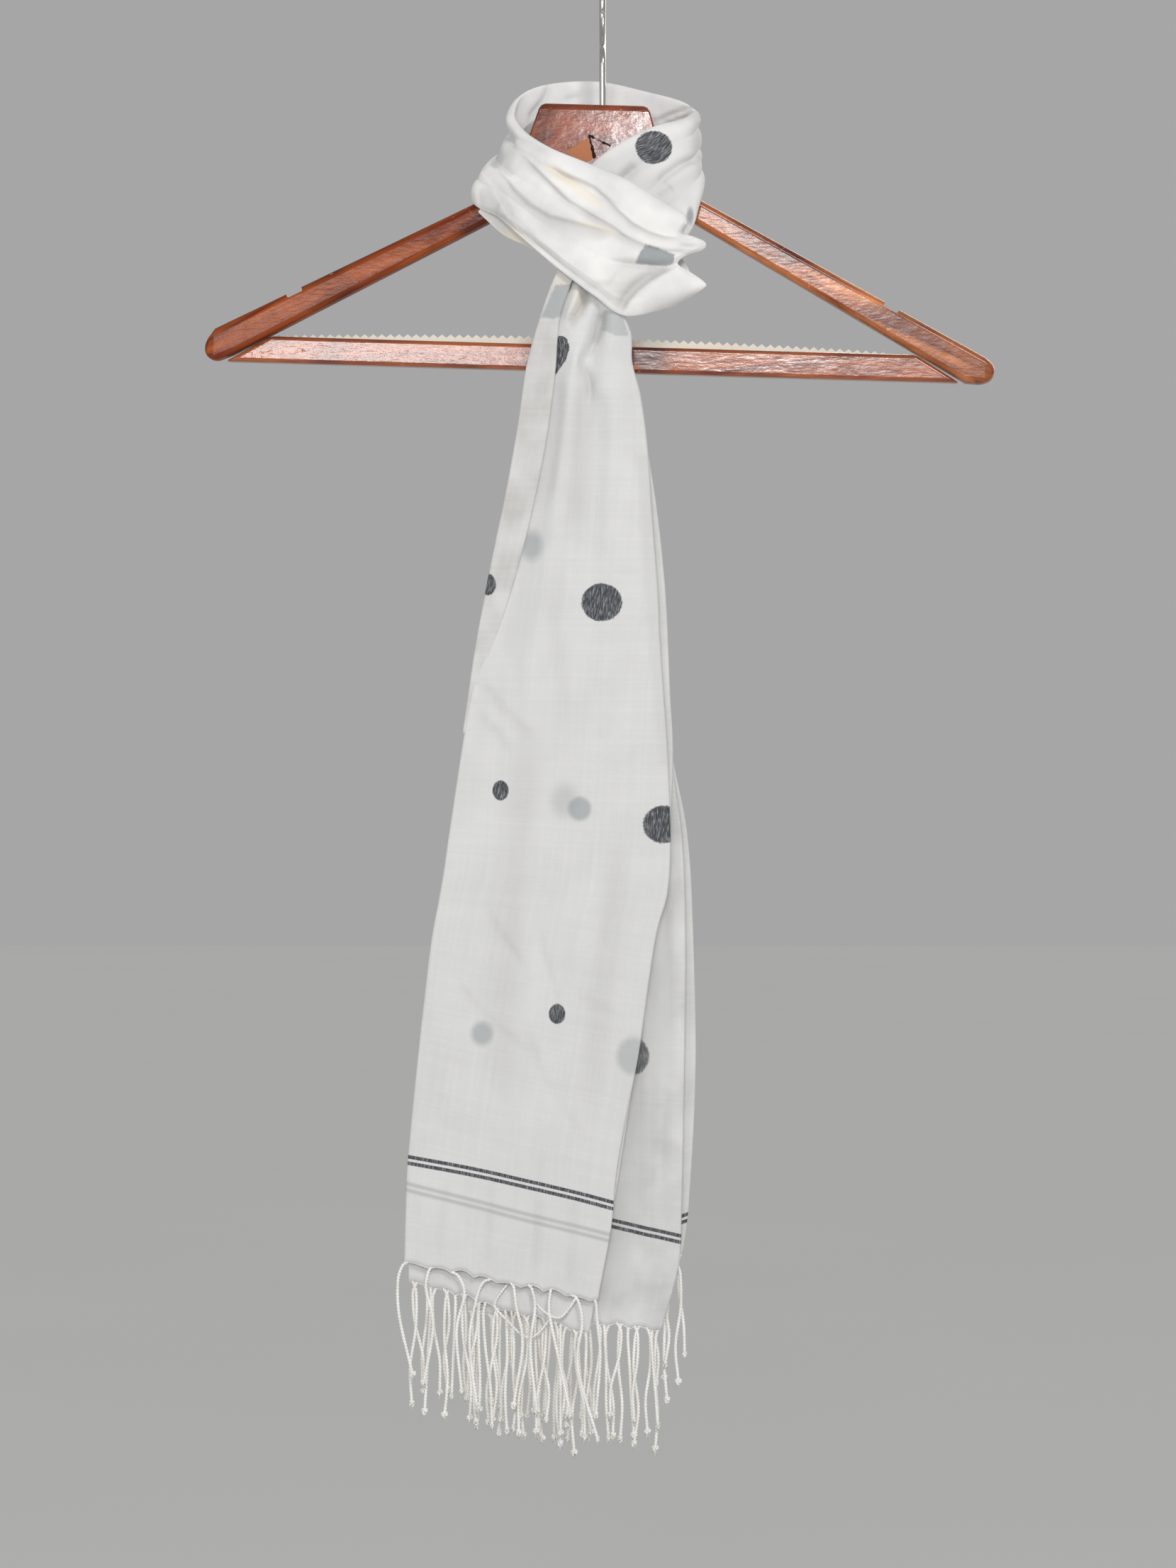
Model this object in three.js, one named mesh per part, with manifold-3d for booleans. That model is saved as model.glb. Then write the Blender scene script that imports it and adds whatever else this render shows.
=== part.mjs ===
// A cotton scarf with a twisted fringe, folded lengthwise, doubled and looped round the
// neck of a wooden clothes hanger, with its two ends pulled through the loop.
// Millimetres, +Z up, the front towards -Y. The origin is the inside of the hook's crown,
// where a rail carries the hanger. "drop" is a distance straight down from there.
import * as THREE from 'three';
import { mergeVertices } from 'three/addons/utils/BufferGeometryUtils.js';
import Module from 'manifold-3d';

const wasm = await Module();
wasm.setup();

// Driving dimensions
const SEAM = 0.3; // the gap where two pieces touch
const HANGER_ROLL = 2.0; // degrees, the right end hangs lower
const HANGER_TURN = 3.5; // degrees about the shank, the right end comes forward
const WIRE = 3.5; // diameter of the hook's wire
const HOOK_RADIUS = 21; // inside radius of the hook's bend
const HEAD_DROP = 76.8; // top of the hanger's head
const WOOD_THICK = 13;
const WOOD_ROUND = 3.6; // rounding of the wood's long edges
const BAR_HIGH = 15;
const BAR_THICK = 11;
const STRIP_THICK = 0.9; // the pinked felt strip behind the bar
const VOILE_WALL = 1.6; // wall that stands for one folded edge of the cloth
const TASSEL_PITCH = 13;
const TASSEL_RADIUS = 0.85;
const TAILS_START = 160; // the drop where the hanging ends begin, inside the loop

const COTTON = { color: 0xeeebe6, roughness: 0.9, metalness: 0 };
const FRINGE = { color: 0xe9e6df, roughness: 0.95, metalness: 0 };
const LACQUERED_WOOD = { color: 0x8a3f22, roughness: 0.3, metalness: 0 };
const FELT = { color: 0xe4dcc0, roughness: 0.95, metalness: 0 };
const STEEL = { color: 0xb9bbbd, roughness: 0.25, metalness: 1 };

const radians = THREE.MathUtils.degToRad;
const point = (x, y, z) => new THREE.Vector3(x, y, z);

// Rows with named columns
function table(names, rows) {
  return rows.map((row) => Object.fromEntries(names.map((name, k) => [name, row[k]])));
}

// Reads one column of a table at any place along another, on a smooth curve through its rows
function read(rows, along, value, place) {
  const last = rows.length - 1;
  let k = 0;
  while (k < last - 1 && place > rows[k + 1][along]) k += 1;
  const slope = (i) => {
    const before = rows[Math.max(i - 1, 0)];
    const after = rows[Math.min(i + 1, last)];
    return (after[value] - before[value]) / (after[along] - before[along]);
  };
  const span = rows[k + 1][along] - rows[k][along];
  const t = THREE.MathUtils.clamp((place - rows[k][along]) / span, 0, 1);
  const straight = THREE.MathUtils.lerp(rows[k][value], rows[k + 1][value], t);
  const rise = rows[k + 1][value] - rows[k][value];
  const ease = t * (1 - t);
  return straight + ease * ((1 - t) * (slope(k) * span - rise) - t * (slope(k + 1) * span - rise));
}

// A closed wall between a face and its back, each given as a grid of points.
// Rows run along the cloth and columns run across it.
function wall(rows, columns, face, back) {
  const points = [];
  for (const side of [face, back]) {
    for (let r = 0; r < rows; r += 1) {
      for (let c = 0; c < columns; c += 1) {
        points.push(...side(r / (rows - 1), c / (columns - 1)).toArray());
      }
    }
  }
  const index = [];
  const at = (side, r, c) => (side * rows + r) * columns + c;
  const quad = (a, b, c, d) => index.push(a, b, c, a, c, d);
  for (let r = 0; r < rows - 1; r += 1) {
    for (let c = 0; c < columns - 1; c += 1) {
      quad(at(0, r, c), at(0, r + 1, c), at(0, r + 1, c + 1), at(0, r, c + 1));
      quad(at(1, r, c), at(1, r, c + 1), at(1, r + 1, c + 1), at(1, r + 1, c));
    }
    const end = columns - 1;
    quad(at(0, r, 0), at(1, r, 0), at(1, r + 1, 0), at(0, r + 1, 0));
    quad(at(0, r, end), at(0, r + 1, end), at(1, r + 1, end), at(1, r, end));
  }
  for (let c = 0; c < columns - 1; c += 1) {
    const end = rows - 1;
    quad(at(0, 0, c), at(0, 0, c + 1), at(1, 0, c + 1), at(1, 0, c));
    quad(at(0, end, c), at(1, end, c), at(1, end, c + 1), at(0, end, c + 1));
  }
  const geometry = new THREE.BufferGeometry();
  geometry.setAttribute('position', new THREE.Float32BufferAttribute(points, 3));
  geometry.setIndex(index);
  return geometry;
}

// Turns a three.js mesh into a solid that can be joined and cut, and back
function toSolid(geometry) {
  const bare = geometry.clone();
  bare.deleteAttribute('normal');
  bare.deleteAttribute('uv');
  const merged = mergeVertices(bare, 1e-4);
  return new wasm.Manifold(new wasm.Mesh({
    numProp: 3,
    vertProperties: new Float32Array(merged.attributes.position.array),
    triVerts: new Uint32Array(merged.index.array),
  }));
}

function toGeometry(solid) {
  const mesh = solid.getMesh();
  const geometry = new THREE.BufferGeometry();
  geometry.setAttribute('position', new THREE.Float32BufferAttribute(mesh.vertProperties, 3));
  geometry.setIndex([...mesh.triVerts]);
  return geometry;
}

function piece(name, geometry, finish) {
  geometry.computeVertexNormals();
  const mesh = new THREE.Mesh(geometry, new THREE.MeshStandardMaterial(finish));
  mesh.name = name;
  return mesh;
}

function tube(path, radius, sides, steps) {
  const outline = new THREE.Shape();
  for (let k = 0; k < sides; k += 1) {
    const angle = (2 * Math.PI * k) / sides;
    const spot = [radius * Math.cos(angle), radius * Math.sin(angle)];
    if (k === 0) outline.moveTo(...spot);
    else outline.lineTo(...spot);
  }
  outline.closePath();
  return new THREE.ExtrudeGeometry(outline, { steps, extrudePath: path, bevelEnabled: false });
}

// The hanger, in its own upright frame, before it is rolled and turned
const HEAD = { middle: -1.6, top: 61, flare: 0.33 }; // width at the top, widening for each mm down
const ARM = { middle: 1.5, slope: 0.515, taper: 0.55, edgeDrop: 97.5, undersideDrop: 110.3, apexRound: 16 };
const HEAD_SIDE = 36; // how far down the head's slanted sides reach
const ENDS = { left: -218, right: 228, round: 5.5, foot: 226.8 };
const END_TURN = { from: 62, step: 20 }; // degrees round the end of an arm, in three steps
const NOTCHES = { left: -166, right: 167, long: 9, deep: 1.9 };

const armTop = (x) => -(ARM.edgeDrop + Math.abs(x - ARM.middle) * ARM.slope);
const armUnder = (x) => -(ARM.undersideDrop + Math.abs(x - ARM.middle) * ARM.taper);

// One side of the wood's outline, from the head's top corner round to the apex underneath
function armOutline(side, end, notch) {
  const corner = HEAD.middle + (side * HEAD.top) / 2;
  const shoulder = corner + side * HEAD_SIDE * HEAD.flare;
  const footX = ARM.middle + (side * (ENDS.foot - ARM.undersideDrop)) / ARM.taper;
  const spots = [
    [corner, -HEAD_DROP],
    [shoulder, -HEAD_DROP - HEAD_SIDE],
    [shoulder + side * 6, armTop(shoulder + side * 6)],
    [notch, armTop(notch)],
    [notch + side * 1.5, armTop(notch) - NOTCHES.deep],
    [notch + side * NOTCHES.long, armTop(notch + side * NOTCHES.long) - NOTCHES.deep],
    [notch + side * (NOTCHES.long + 1), armTop(notch + side * (NOTCHES.long + 1))],
  ];
  const roundX = end - side * ENDS.round;
  for (let k = 0; k <= 3; k += 1) {
    const angle = radians(END_TURN.from - END_TURN.step * k);
    spots.push([
      roundX + side * ENDS.round * Math.cos(angle),
      armTop(roundX) - ENDS.round + ENDS.round * Math.sin(angle),
    ]);
  }
  spots.push([end - side * 0.6, -ENDS.foot + 5], [end - side * 3.5, -ENDS.foot + 0.8]);
  spots.push([footX, -ENDS.foot]);
  spots.push([ARM.middle + side * ARM.apexRound, armUnder(ARM.middle + side * ARM.apexRound)]);
  return spots;
}

function woodenBody() {
  const right = armOutline(1, ENDS.right, NOTCHES.right);
  const left = armOutline(-1, ENDS.left, NOTCHES.left).reverse();
  const apex = [ARM.middle, armUnder(ARM.middle) - (ARM.apexRound * ARM.taper) / 2];
  const outline = new THREE.Shape([...left, ...right, apex].map(([x, z]) => new THREE.Vector2(x, z)));
  const geometry = new THREE.ExtrudeGeometry(outline, {
    depth: WOOD_THICK - 2 * WOOD_ROUND,
    bevelThickness: WOOD_ROUND,
    bevelSize: WOOD_ROUND,
    bevelOffset: -WOOD_ROUND,
    bevelSegments: 3,
  });
  geometry.rotateX(Math.PI / 2); // the outline's second axis becomes +Z
  geometry.translate(0, WOOD_THICK / 2 - WOOD_ROUND, 0);
  return toSolid(geometry);
}

// Two halves, glued at the middle of the head, with the hook's hole bored upright in one
function hangerHalves(frame) {
  const boreLong = 60;
  const boreDeep = 24; // how far it goes into the head
  const bore = new THREE.CylinderGeometry(WIRE / 2 + SEAM, WIRE / 2 + SEAM, boreLong, 12);
  bore.rotateX(Math.PI / 2);
  bore.translate(0, 0, -HEAD_DROP - boreDeep + boreLong / 2);
  bore.applyMatrix4(frame.clone().invert());
  const drilled = woodenBody().subtract(toSolid(bore));
  const left = drilled.trimByPlane([-1, 0, 0], -(HEAD.middle - SEAM / 2));
  const right = drilled.trimByPlane([1, 0, 0], HEAD.middle + SEAM / 2);
  return [
    piece('hanger_half_left', toGeometry(left), LACQUERED_WOOD),
    piece('hanger_half_right', toGeometry(right), LACQUERED_WOOD),
  ];
}

// The trouser bar, mitred to lie against the undersides of the arms
function trouserBar() {
  const top = -ENDS.foot + BAR_HIGH + 0.6;
  const foot = -ENDS.foot + 0.6;
  const mitre = (side, z) => ARM.middle + side * ((-z - ARM.undersideDrop) / ARM.taper - 1.2);
  const outline = new THREE.Shape([
    new THREE.Vector2(mitre(-1, foot) + 2, foot),
    new THREE.Vector2(mitre(1, foot) - 2, foot),
    new THREE.Vector2(mitre(1, top), top),
    new THREE.Vector2(mitre(-1, top), top),
  ]);
  const round = 2.4;
  const geometry = new THREE.ExtrudeGeometry(outline, {
    depth: BAR_THICK - 2 * round,
    bevelThickness: round,
    bevelSize: round,
    bevelOffset: -round,
    bevelSegments: 2,
  });
  geometry.rotateX(Math.PI / 2);
  geometry.translate(0, BAR_THICK / 2 - round, 0);
  return piece('trouser_bar', geometry, LACQUERED_WOOD);
}

// A strip of felt glued to the back of the bar, its pinked edge standing above it
function pinkedStrip() {
  const teeth = 74;
  const pitch = 4.9;
  const deep = 1.9;
  const barTop = -ENDS.foot + BAR_HIGH + 0.6;
  const start = ARM.middle - (teeth * pitch) / 2;
  const crest = (x) => barTop + 1.4 + 4.2 * (1 - ((x - ARM.middle) / 184) ** 2);
  const spots = [[start, barTop - 9], [start + teeth * pitch, barTop - 9]];
  for (let k = teeth; k > 0; k -= 1) {
    const x = start + k * pitch;
    spots.push([x, crest(x) - deep], [x - pitch / 2, crest(x - pitch / 2)]);
  }
  spots.push([start, crest(start) - deep]);
  const outline = new THREE.Shape(spots.map(([x, z]) => new THREE.Vector2(x, z)));
  const geometry = new THREE.ExtrudeGeometry(outline, { depth: STRIP_THICK, bevelEnabled: false });
  geometry.rotateX(Math.PI / 2);
  geometry.translate(0, BAR_THICK / 2 + SEAM + STRIP_THICK, 0);
  return piece('pinked_strip', geometry, FELT);
}

// Bent wire in the plane across the hanger: a shank, a swan neck and an open round hook
function hookWire() {
  const bend = HOOK_RADIUS + WIRE / 2;
  const shankDeep = 23.5; // the shank's length inside the head
  const spots = [[0, -HEAD_DROP - shankDeep], [0, -HEAD_DROP], [0, -62], [1.2, -52], [7, -45.5]];
  for (let angle = -45; angle <= 192; angle += 15.8) {
    spots.push([bend * Math.cos(radians(angle)), -HOOK_RADIUS + bend * Math.sin(radians(angle))]);
  }
  const path = new THREE.CatmullRomCurve3(spots.map(([y, z]) => point(0, y, z)), false, 'centripetal');
  return piece('hook_wire', tube(path, WIRE / 2, 8, 40), STEEL);
}

// The wrap: one run of folded cloth from the loop's folded end at the lower right, up across
// the front, round the left of the neck, behind it, round the right and down under itself.
// Each row is a section: the neck edge, the lower edge, and how thick the layers lie there.
const WRAP = table(['topX', 'topY', 'topZ', 'lowX', 'lowY', 'lowZ', 'thick'], [
  [46.3, -26.5, -139.9, 38.8, -20.5, -191.5, 4.4],
  [32, -28, -131.7, 12.6, -26.5, -196.9, 5.2],
  [12.6, -29.5, -120.4, -5, -28.5, -185.8, 5.6],
  [-11.2, -28, -110.3, -25.8, -28, -170.1, 5.6],
  [-27.9, -24, -103, -43.8, -24.5, -154.1, 5.6],
  [-40.9, -15.5, -94.1, -58.9, -17, -140.2, 5.6],
  [-47.6, -6.5, -85.9, -68.6, -8, -132.6, 5.6],
  [-49.7, 4, -77.8, -71.6, 2.5, -128.3, 5.6],
  [-44.4, 15.5, -66, -65.6, 17.5, -126, 5.6],
  [-28.3, 22.5, -59.4, -40.4, 23.5, -130, 5.6],
  [-1.9, 25, -58, -6, 25, -133, 5.6],
  [24.4, 21.5, -64.1, 28.5, 21.5, -130, 5.6],
  [43.5, 13, -70.5, 47.5, 13.5, -127, 5.6],
  [51.8, 2, -77.4, 52.6, 1.5, -126.2, 5.6],
  [51, -6, -80, 54, -8.5, -126.6, 5.6],
  [44, -12.5, -84.8, 53.6, -17, -136, 5.6],
  [27.9, -15.5, -89.6, 49.9, -17.8, -147.8, 6],
  [8, -18, -100, 40.9, -17.8, -158.8, 7],
  [-9, -18.2, -114, 29.9, -17.8, -168.8, 8],
  [-19, -18.2, -137, 20, -17.8, -180, 8],
  [-26, -18.2, -168, 14, -17.8, -192, 8],
]).map((row, station) => ({ ...row, station }));

// Creases that run along the wrap part it into ribs. Each is a share of the way from the
// neck edge to the lower edge, and bulk is how far the ribs stand out, for their width.
const CREASES = table(['station', 'first', 'second', 'third', 'bulk'], [
  [0, 0.22, 0.43, 0.53, 13],
  [1, 0.27, 0.4, 0.57, 12],
  [2, 0.24, 0.39, 0.68, 10],
  [3, 0.2, 0.4, 0.72, 7],
  [5, 0.22, 0.5, 0.74, 7],
  [7, 0.3, 0.55, 0.78, 11],
  [10, 0.24, 0.5, 0.78, 10],
  [13, 0.2, 0.46, 0.72, 9],
  [17, 0.26, 0.48, 0.7, 9],
  [20, 0.3, 0.52, 0.72, 8],
]);

// How far each rib of the folded end reaches to the right, past the first section
const LOOP_END = table(['across', 'reach'], [
  [0, 0], [0.1, 1.5], [0.2, 0], [0.25, 8], [0.3, 13], [0.38, 12.5], [0.44, 4], [0.5, 0], [0.55, 0.5],
  [0.62, 7], [0.72, 15], [0.77, 16.5], [0.87, 10], [1, 0],
]);

const sectionEdge = (place, edge) => point(
  read(WRAP, 'station', `${edge}X`, place),
  read(WRAP, 'station', `${edge}Y`, place),
  read(WRAP, 'station', `${edge}Z`, place),
);

function sectionFrame(place) {
  const middle = (at) => sectionEdge(at, 'top').add(sectionEdge(at, 'low')).multiplyScalar(0.5);
  const before = Math.max(place - 0.05, 0);
  const after = Math.min(place + 0.05, WRAP.length - 1);
  const along = middle(after).sub(middle(before));
  const speed = along.length() / (after - before);
  const up = sectionEdge(place, 'top').sub(sectionEdge(place, 'low'));
  return { outward: up.cross(along).normalize(), speed };
}

// A point of the wrap's face (side 1) or of its back (side -1)
function wrapPoint(place, share, side) {
  const ribs = 4;
  const scaled = Math.min(share * ribs, ribs - 1e-9);
  const rib = Math.floor(scaled);
  const t = scaled - rib;
  const edges = [0, ...['first', 'second', 'third'].map((c) => read(CREASES, 'station', c, place)), 1];
  const width = edges[rib + 1] - edges[rib];
  const across = edges[rib] + t * width;
  const { outward } = sectionFrame(place);
  const spot = sectionEdge(place, 'top').lerp(sectionEdge(place, 'low'), across);
  const crown = read(CREASES, 'station', 'bulk', place) * width * 4 * t * (1 - t);
  const edgeRound = Math.sqrt(Math.max(1 - (2 * across - 1) ** 6, 0.12));
  const half = (read(WRAP, 'station', 'thick', place) / 2) * edgeRound;
  const nearEnd = THREE.MathUtils.smoothstep(1 - place, 0, 1);
  spot.x += nearEnd * read(LOOP_END, 'across', 'reach', across);
  const fading = Math.min(1, 0.3 + place / 0.25);
  return spot.addScaledVector(outward, side > 0 ? half * fading + crown * 0.6 : crown * 0.3 - half * fading);
}

function wrapStretch(from, to, steps, ribSteps) {
  const start = from === 0 ? 0 : from + SEAM / 2 / sectionFrame(from).speed;
  const end = to - SEAM / 2 / sectionFrame(to).speed;
  const place = (u) => start + u * (end - start);
  return wall(
    steps,
    4 * ribSteps + 1,
    (u, v) => wrapPoint(place(u), v, 1),
    (u, v) => wrapPoint(place(u), v, -1),
  );
}

// The back half of the loop, behind the hanging ends, from the folded end to the left shoulder
const LOOP_BACK = table(['station', 'topX', 'topY', 'topZ', 'lowX', 'lowY', 'lowZ'], [
  [0, 49, -14.5, -163, 41, -14.5, -187],
  [1, 34, -11, -146, 26, -11, -192],
  [2, 12, -11, -124, 4, -11, -189],
  [3, -8, -11, -114, -14.7, -11, -177.4],
  [4, -27, -10.8, -110, -38.6, -10.8, -159.4],
  [5, -42, -9.4, -110, -55.4, -9.6, -150.8],
  [6, -50, -7.2, -116, -66, -7.4, -141],
]);

function loopBack() {
  const thick = 2.4;
  const last = LOOP_BACK.length - 1;
  const spot = (u, v, offset) => {
    const edge = (name) => point(...['X', 'Y', 'Z'].map((axis) => read(LOOP_BACK, 'station', name + axis, u * last)));
    const place = edge('top').lerp(edge('low'), v);
    const reach = THREE.MathUtils.smoothstep(1 - u * last, 0, 1) * 8 * Math.sin(Math.PI * v);
    return place.add(point(reach, offset * Math.sqrt(1 - (2 * v - 1) ** 4 * 0.7), 0));
  };
  return piece('loop_back', wall(15, 7, (u, v) => spot(u, v, -thick / 2), (u, v) => spot(u, v, thick / 2)), COTTON);
}

// The hanging ends. Each layer of cloth keeps its own level from front to back, and one
// field of shallow waves moves them all alike, so that they lie on each other.
const LEVELS = { side: -23.9, front: -21.4, inner: -17.6, back: -14.9, far: -10.2 };

function hangWave(x, drop) {
  const free = THREE.MathUtils.smoothstep(drop, 230, 420);
  const flutes = THREE.MathUtils.smoothstep(drop, 520, 720);
  return free * 1.6 * Math.sin(x / 26 + drop / 120) + flutes * 1.1 * Math.sin(x / 9.5 + drop / 75);
}

// Air between the folds: the outer layers stand off the inner ones along their middle
const AIR = { front: -3.6, side: 0, inner: 0, back: 3, far: 0.6 };

function stand(layer, v, drop) {
  const free = THREE.MathUtils.smoothstep(drop, 240, 430);
  const hem = 1 - THREE.MathUtils.smoothstep(drop, 620, 730);
  return AIR[layer] * free * hem * 4 * v * (1 - v);
}

// Gathers of the front layer near the loop: how far they stand forward, and how wide they are.
// Under the side fold the layer stays flat.
function gather(x, drop) {
  const clear = THREE.MathUtils.smoothstep(x, read(SIDE_FOLD, 'drop', 'right', drop) - 1, -8);
  const fade = THREE.MathUtils.smoothstep(drop, 168, 200) * (1 - THREE.MathUtils.smoothstep(drop, 200, 430));
  const lobe = 0.5 + 0.5 * Math.cos((x - 7 - (drop - 205) * 0.06) / (3.2 + (drop - 160) * 0.022));
  return fade * clear * 4.6 * lobe;
}

const FRONT_PANEL = table(['drop', 'left', 'right', 'tilt'], [
  [160.3, -15, 38, 0],
  [176, -16.3, 22, 0],
  [184, -19.8, 14.5, 0],
  [195, -28.5, 12.2, 0],
  [207, -31.5, 16, 0],
  [222, -34.5, 16.4, 0],
  [240, -37.5, 21, 0],
  [272, -42.5, 25.4, 0],
  [308, -49.5, 28.3, 0],
  [350, -58.5, 31.5, 0],
  [378, -66.5, 34.5, 0],
  [405, -73.2, 38, 0],
  [443, -79.5, 39.4, 0.02],
  [490, -86.5, 38.8, 0.06],
  [514, -89.5, 36.3, 0.1],
  [531, -92, 31, 0.13],
  [555, -96.2, 26.6, 0.17],
  [597, -101.3, 21, 0.22],
  [632, -104.8, 15.1, 0.25],
  [663, -107.8, 9.8, 0.25],
  [692, -110, 7, 0.23],
  [735, -111, -1.5, 0.2],
]);

const SIDE_FOLD = table(['drop', 'left', 'right', 'tilt'], [
  [160.3, -24, -12, 0],
  [169, -24.7, -14.5, 0],
  [183, -30.3, -19.4, 0],
  [195, -34.3, -23.5, 0],
  [207, -38, -25.2, 0],
  [225, -42.6, -26.4, 0],
  [257, -47.4, -30.2, 0],
  [285, -52.2, -35.2, 0],
  [320, -59.4, -43, 0],
  [356, -66.5, -53, 0],
  [398, -74, -69, 0],
]);

const INNER_PANEL = table(['drop', 'left', 'right', 'tilt'], [
  [160.3, -20, 37, 0],
  [176, -22, 24, 0],
  [195, -30, 11, 0],
  [225, -38, 15.4, 0],
  [257, -44, 22.5, 0],
  [297, -51, 29, 0],
  [328, -57, 33, 0],
  [360, -63, 35.5, 0],
  [405, -71, 37, 0],
  [443, -76, 37.8, 0.02],
  [514, -86.6, 34.6, 0.1],
  [555, -93.6, 25, 0.17],
  [632, -103, 13.4, 0.28],
  [692, -108.4, 3.6, 0.3],
  [750, -108.8, -8, 0.3],
]);

const BACK_PANEL = table(['drop', 'left', 'right', 'tilt'], [
  [160.3, -18, 29, 0],
  [195, -26, 10.5, 0],
  [225, -34, 14.6, 0],
  [285, -47, 26, 0],
  [356, -60, 34.4, 0],
  [443, -67, 38.6, 0],
  [490, -69.4, 44.5, 0],
  [540, -71.5, 46.4, 0.04],
  [620, -73.5, 45.6, 0.08],
  [692, -75.5, 44.2, 0.1],
  [722, -76, 42.6, 0.1],
  [758, -76, 33, 0.1],
]);

const FAR_STRIP = table(['drop', 'left', 'right', 'tilt'], [
  [446, 20, 39.6, 0],
  [486, 26, 47.4, 0],
  [538, 30, 50.6, 0],
  [619, 31, 52.2, -0.1],
  [699, 30, 48.4, -0.5],
  [732, 29, 45, -1.4],
]);

function panelPoint(rows, layer, u, v, behind) {
  const top = rows[0].drop;
  const foot = rows[rows.length - 1].drop;
  const drop = top + u * (foot - top);
  const left = read(rows, 'drop', 'left', drop);
  const right = read(rows, 'drop', 'right', drop);
  const x = left + v * (right - left);
  const middle = (left + right) / 2;
  const z = -drop - read(rows, 'drop', 'tilt', drop) * (x - middle);
  const edge = Math.min(x - left, right - x);
  const roll = 0.9 * Math.max(0, 1 - edge / 4) ** 2;
  const forward = layer === 'front' ? gather(x, drop) : 0;
  const thin = behind > 0 ? -roll * 0.4 : roll * 0.2;
  return point(x, LEVELS[layer] + behind + hangWave(x, -z) + stand(layer, v, drop) - forward + thin, z);
}

function panel(name, rows, layer, thick, steps, columns) {
  // columns crowd towards the two edges, where the folded cloth turns
  const spread = (v) => v - 0.045 * Math.sin(4 * Math.PI * v);
  return piece(name, wall(
    steps,
    columns,
    (u, v) => panelPoint(rows, layer, u, spread(v), 0),
    (u, v) => panelPoint(rows, layer, u, spread(v), thick),
  ), COTTON);
}

// A fringe: tassels hanging from a narrow scalloped strip, which carries on the cloth's edge
function fringe(name, rows, layer, thick, count, long, fan, seed) {
  const last = rows[rows.length - 1];
  const middle = (last.left + last.right) / 2;
  const width = last.right - last.left;
  const hem = (x) => -last.drop - last.tilt * (x - middle) - SEAM * Math.hypot(1, last.tilt);
  const scallops = Math.max(2, Math.round(width / TASSEL_PITCH));
  const stripHigh = 2.6;
  const arch = 2;
  const steps = scallops * 3;
  const foot = (v) => stripHigh + arch * (1 - Math.abs(Math.sin(Math.PI * v * scallops)));
  const spot = (u, v, behind) => {
    const x = last.left + 0.4 + v * (width - 0.8);
    const z = hem(x) - u * foot(v);
    return point(x, LEVELS[layer] + behind + hangWave(x, -hem(x) - SEAM), z);
  };
  let solid = toSolid(wall(2, steps + 1, (u, v) => spot(u, v, 0), (u, v) => spot(u, v, thick)));
  for (let k = 0; k < count; k += 1) {
    const share = (k + 0.5) / count;
    const wobble = Math.sin(seed + k * 2.4);
    const drift = Math.sin(seed * 3 + k * 1.7);
    const root = spot(0.2, share, thick / 2);
    const lane = fan + ((k % 3) - 1) * 1.8;
    const length = long * (0.92 + 0.08 * Math.sin(seed + k * 4.1));
    const sway = Math.min(2.4, (width / count) * 0.7);
    const bend = (down, aside, away) => point(
      root.x + aside * sway,
      root.y + away * lane,
      root.z - down * length,
    );
    const path = new THREE.CatmullRomCurve3([
      root,
      bend(0.1, 0.3 * wobble, 0.15),
      bend(0.35, wobble, 0.7),
      bend(0.7, -0.5 * wobble + drift, 1),
      bend(1, drift, 1),
    ]);
    solid = solid.add(toSolid(tube(path, TASSEL_RADIUS, 3, 4)));
  }
  return piece(name, toGeometry(solid), FRINGE);
}

// Everything together
const scarfOnHanger = new THREE.Group();
scarfOnHanger.name = 'scarf_on_hanger';

const hanger = new THREE.Group();
hanger.rotation.set(0, radians(HANGER_ROLL), -radians(HANGER_TURN), 'ZYX');
hanger.updateMatrixWorld();
hanger.add(...hangerHalves(hanger.matrixWorld), trouserBar(), pinkedStrip());
scarfOnHanger.add(hanger, hookWire());

const rightStretch = toSolid(wrapStretch(13, 20, 20, 3)).trimByPlane([0, 0, 1], -TAILS_START);
scarfOnHanger.add(
  piece('band_front', wrapStretch(0, 6.5, 24, 4), COTTON),
  piece('collar_back', wrapStretch(6.5, 13, 18, 3), COTTON),
  piece('collar_right', toGeometry(rightStretch), COTTON),
  loopBack(),
  panel('tail_front', FRONT_PANEL, 'front', VOILE_WALL, 27, 13),
  panel('tail_side_fold', SIDE_FOLD, 'side', VOILE_WALL, 12, 4),
  panel('tail_inner', INNER_PANEL, 'inner', 2.4, 22, 11),
  panel('tail_back', BACK_PANEL, 'back', 2.4, 20, 11),
  panel('tail_back_edge', FAR_STRIP, 'far', 1.4, 9, 4),
  fringe('fringe_front', FRONT_PANEL, 'front', VOILE_WALL, 9, 62, -3, 1.3),
  fringe('fringe_inner', INNER_PANEL, 'inner', 2.4, 29, 68, 0, 2.1),
  fringe('fringe_back', BACK_PANEL, 'back', 2.4, 32, 66, 3, 0.4),
  fringe('fringe_back_edge', FAR_STRIP, 'far', 1.4, 6, 66, 5, 4.2),
);

export default scarfOnHanger;
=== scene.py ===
# %% [markdown]
# # A cotton scarf on a wooden hanger
# A sheer white scarf with woven dots and a twisted fringe is looped round the neck of a lacquered
# clothes hanger. The solid model comes in as a fixed frame. Each solid is then dressed with a
# piece that looks like the real material and stays where the solid is.
# Lengths below are in millimetres, and "drop" is a distance straight down from the hook's crown.

import math

import bmesh
import bpy
import numpy as np
from mathutils import Matrix, Vector


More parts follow.
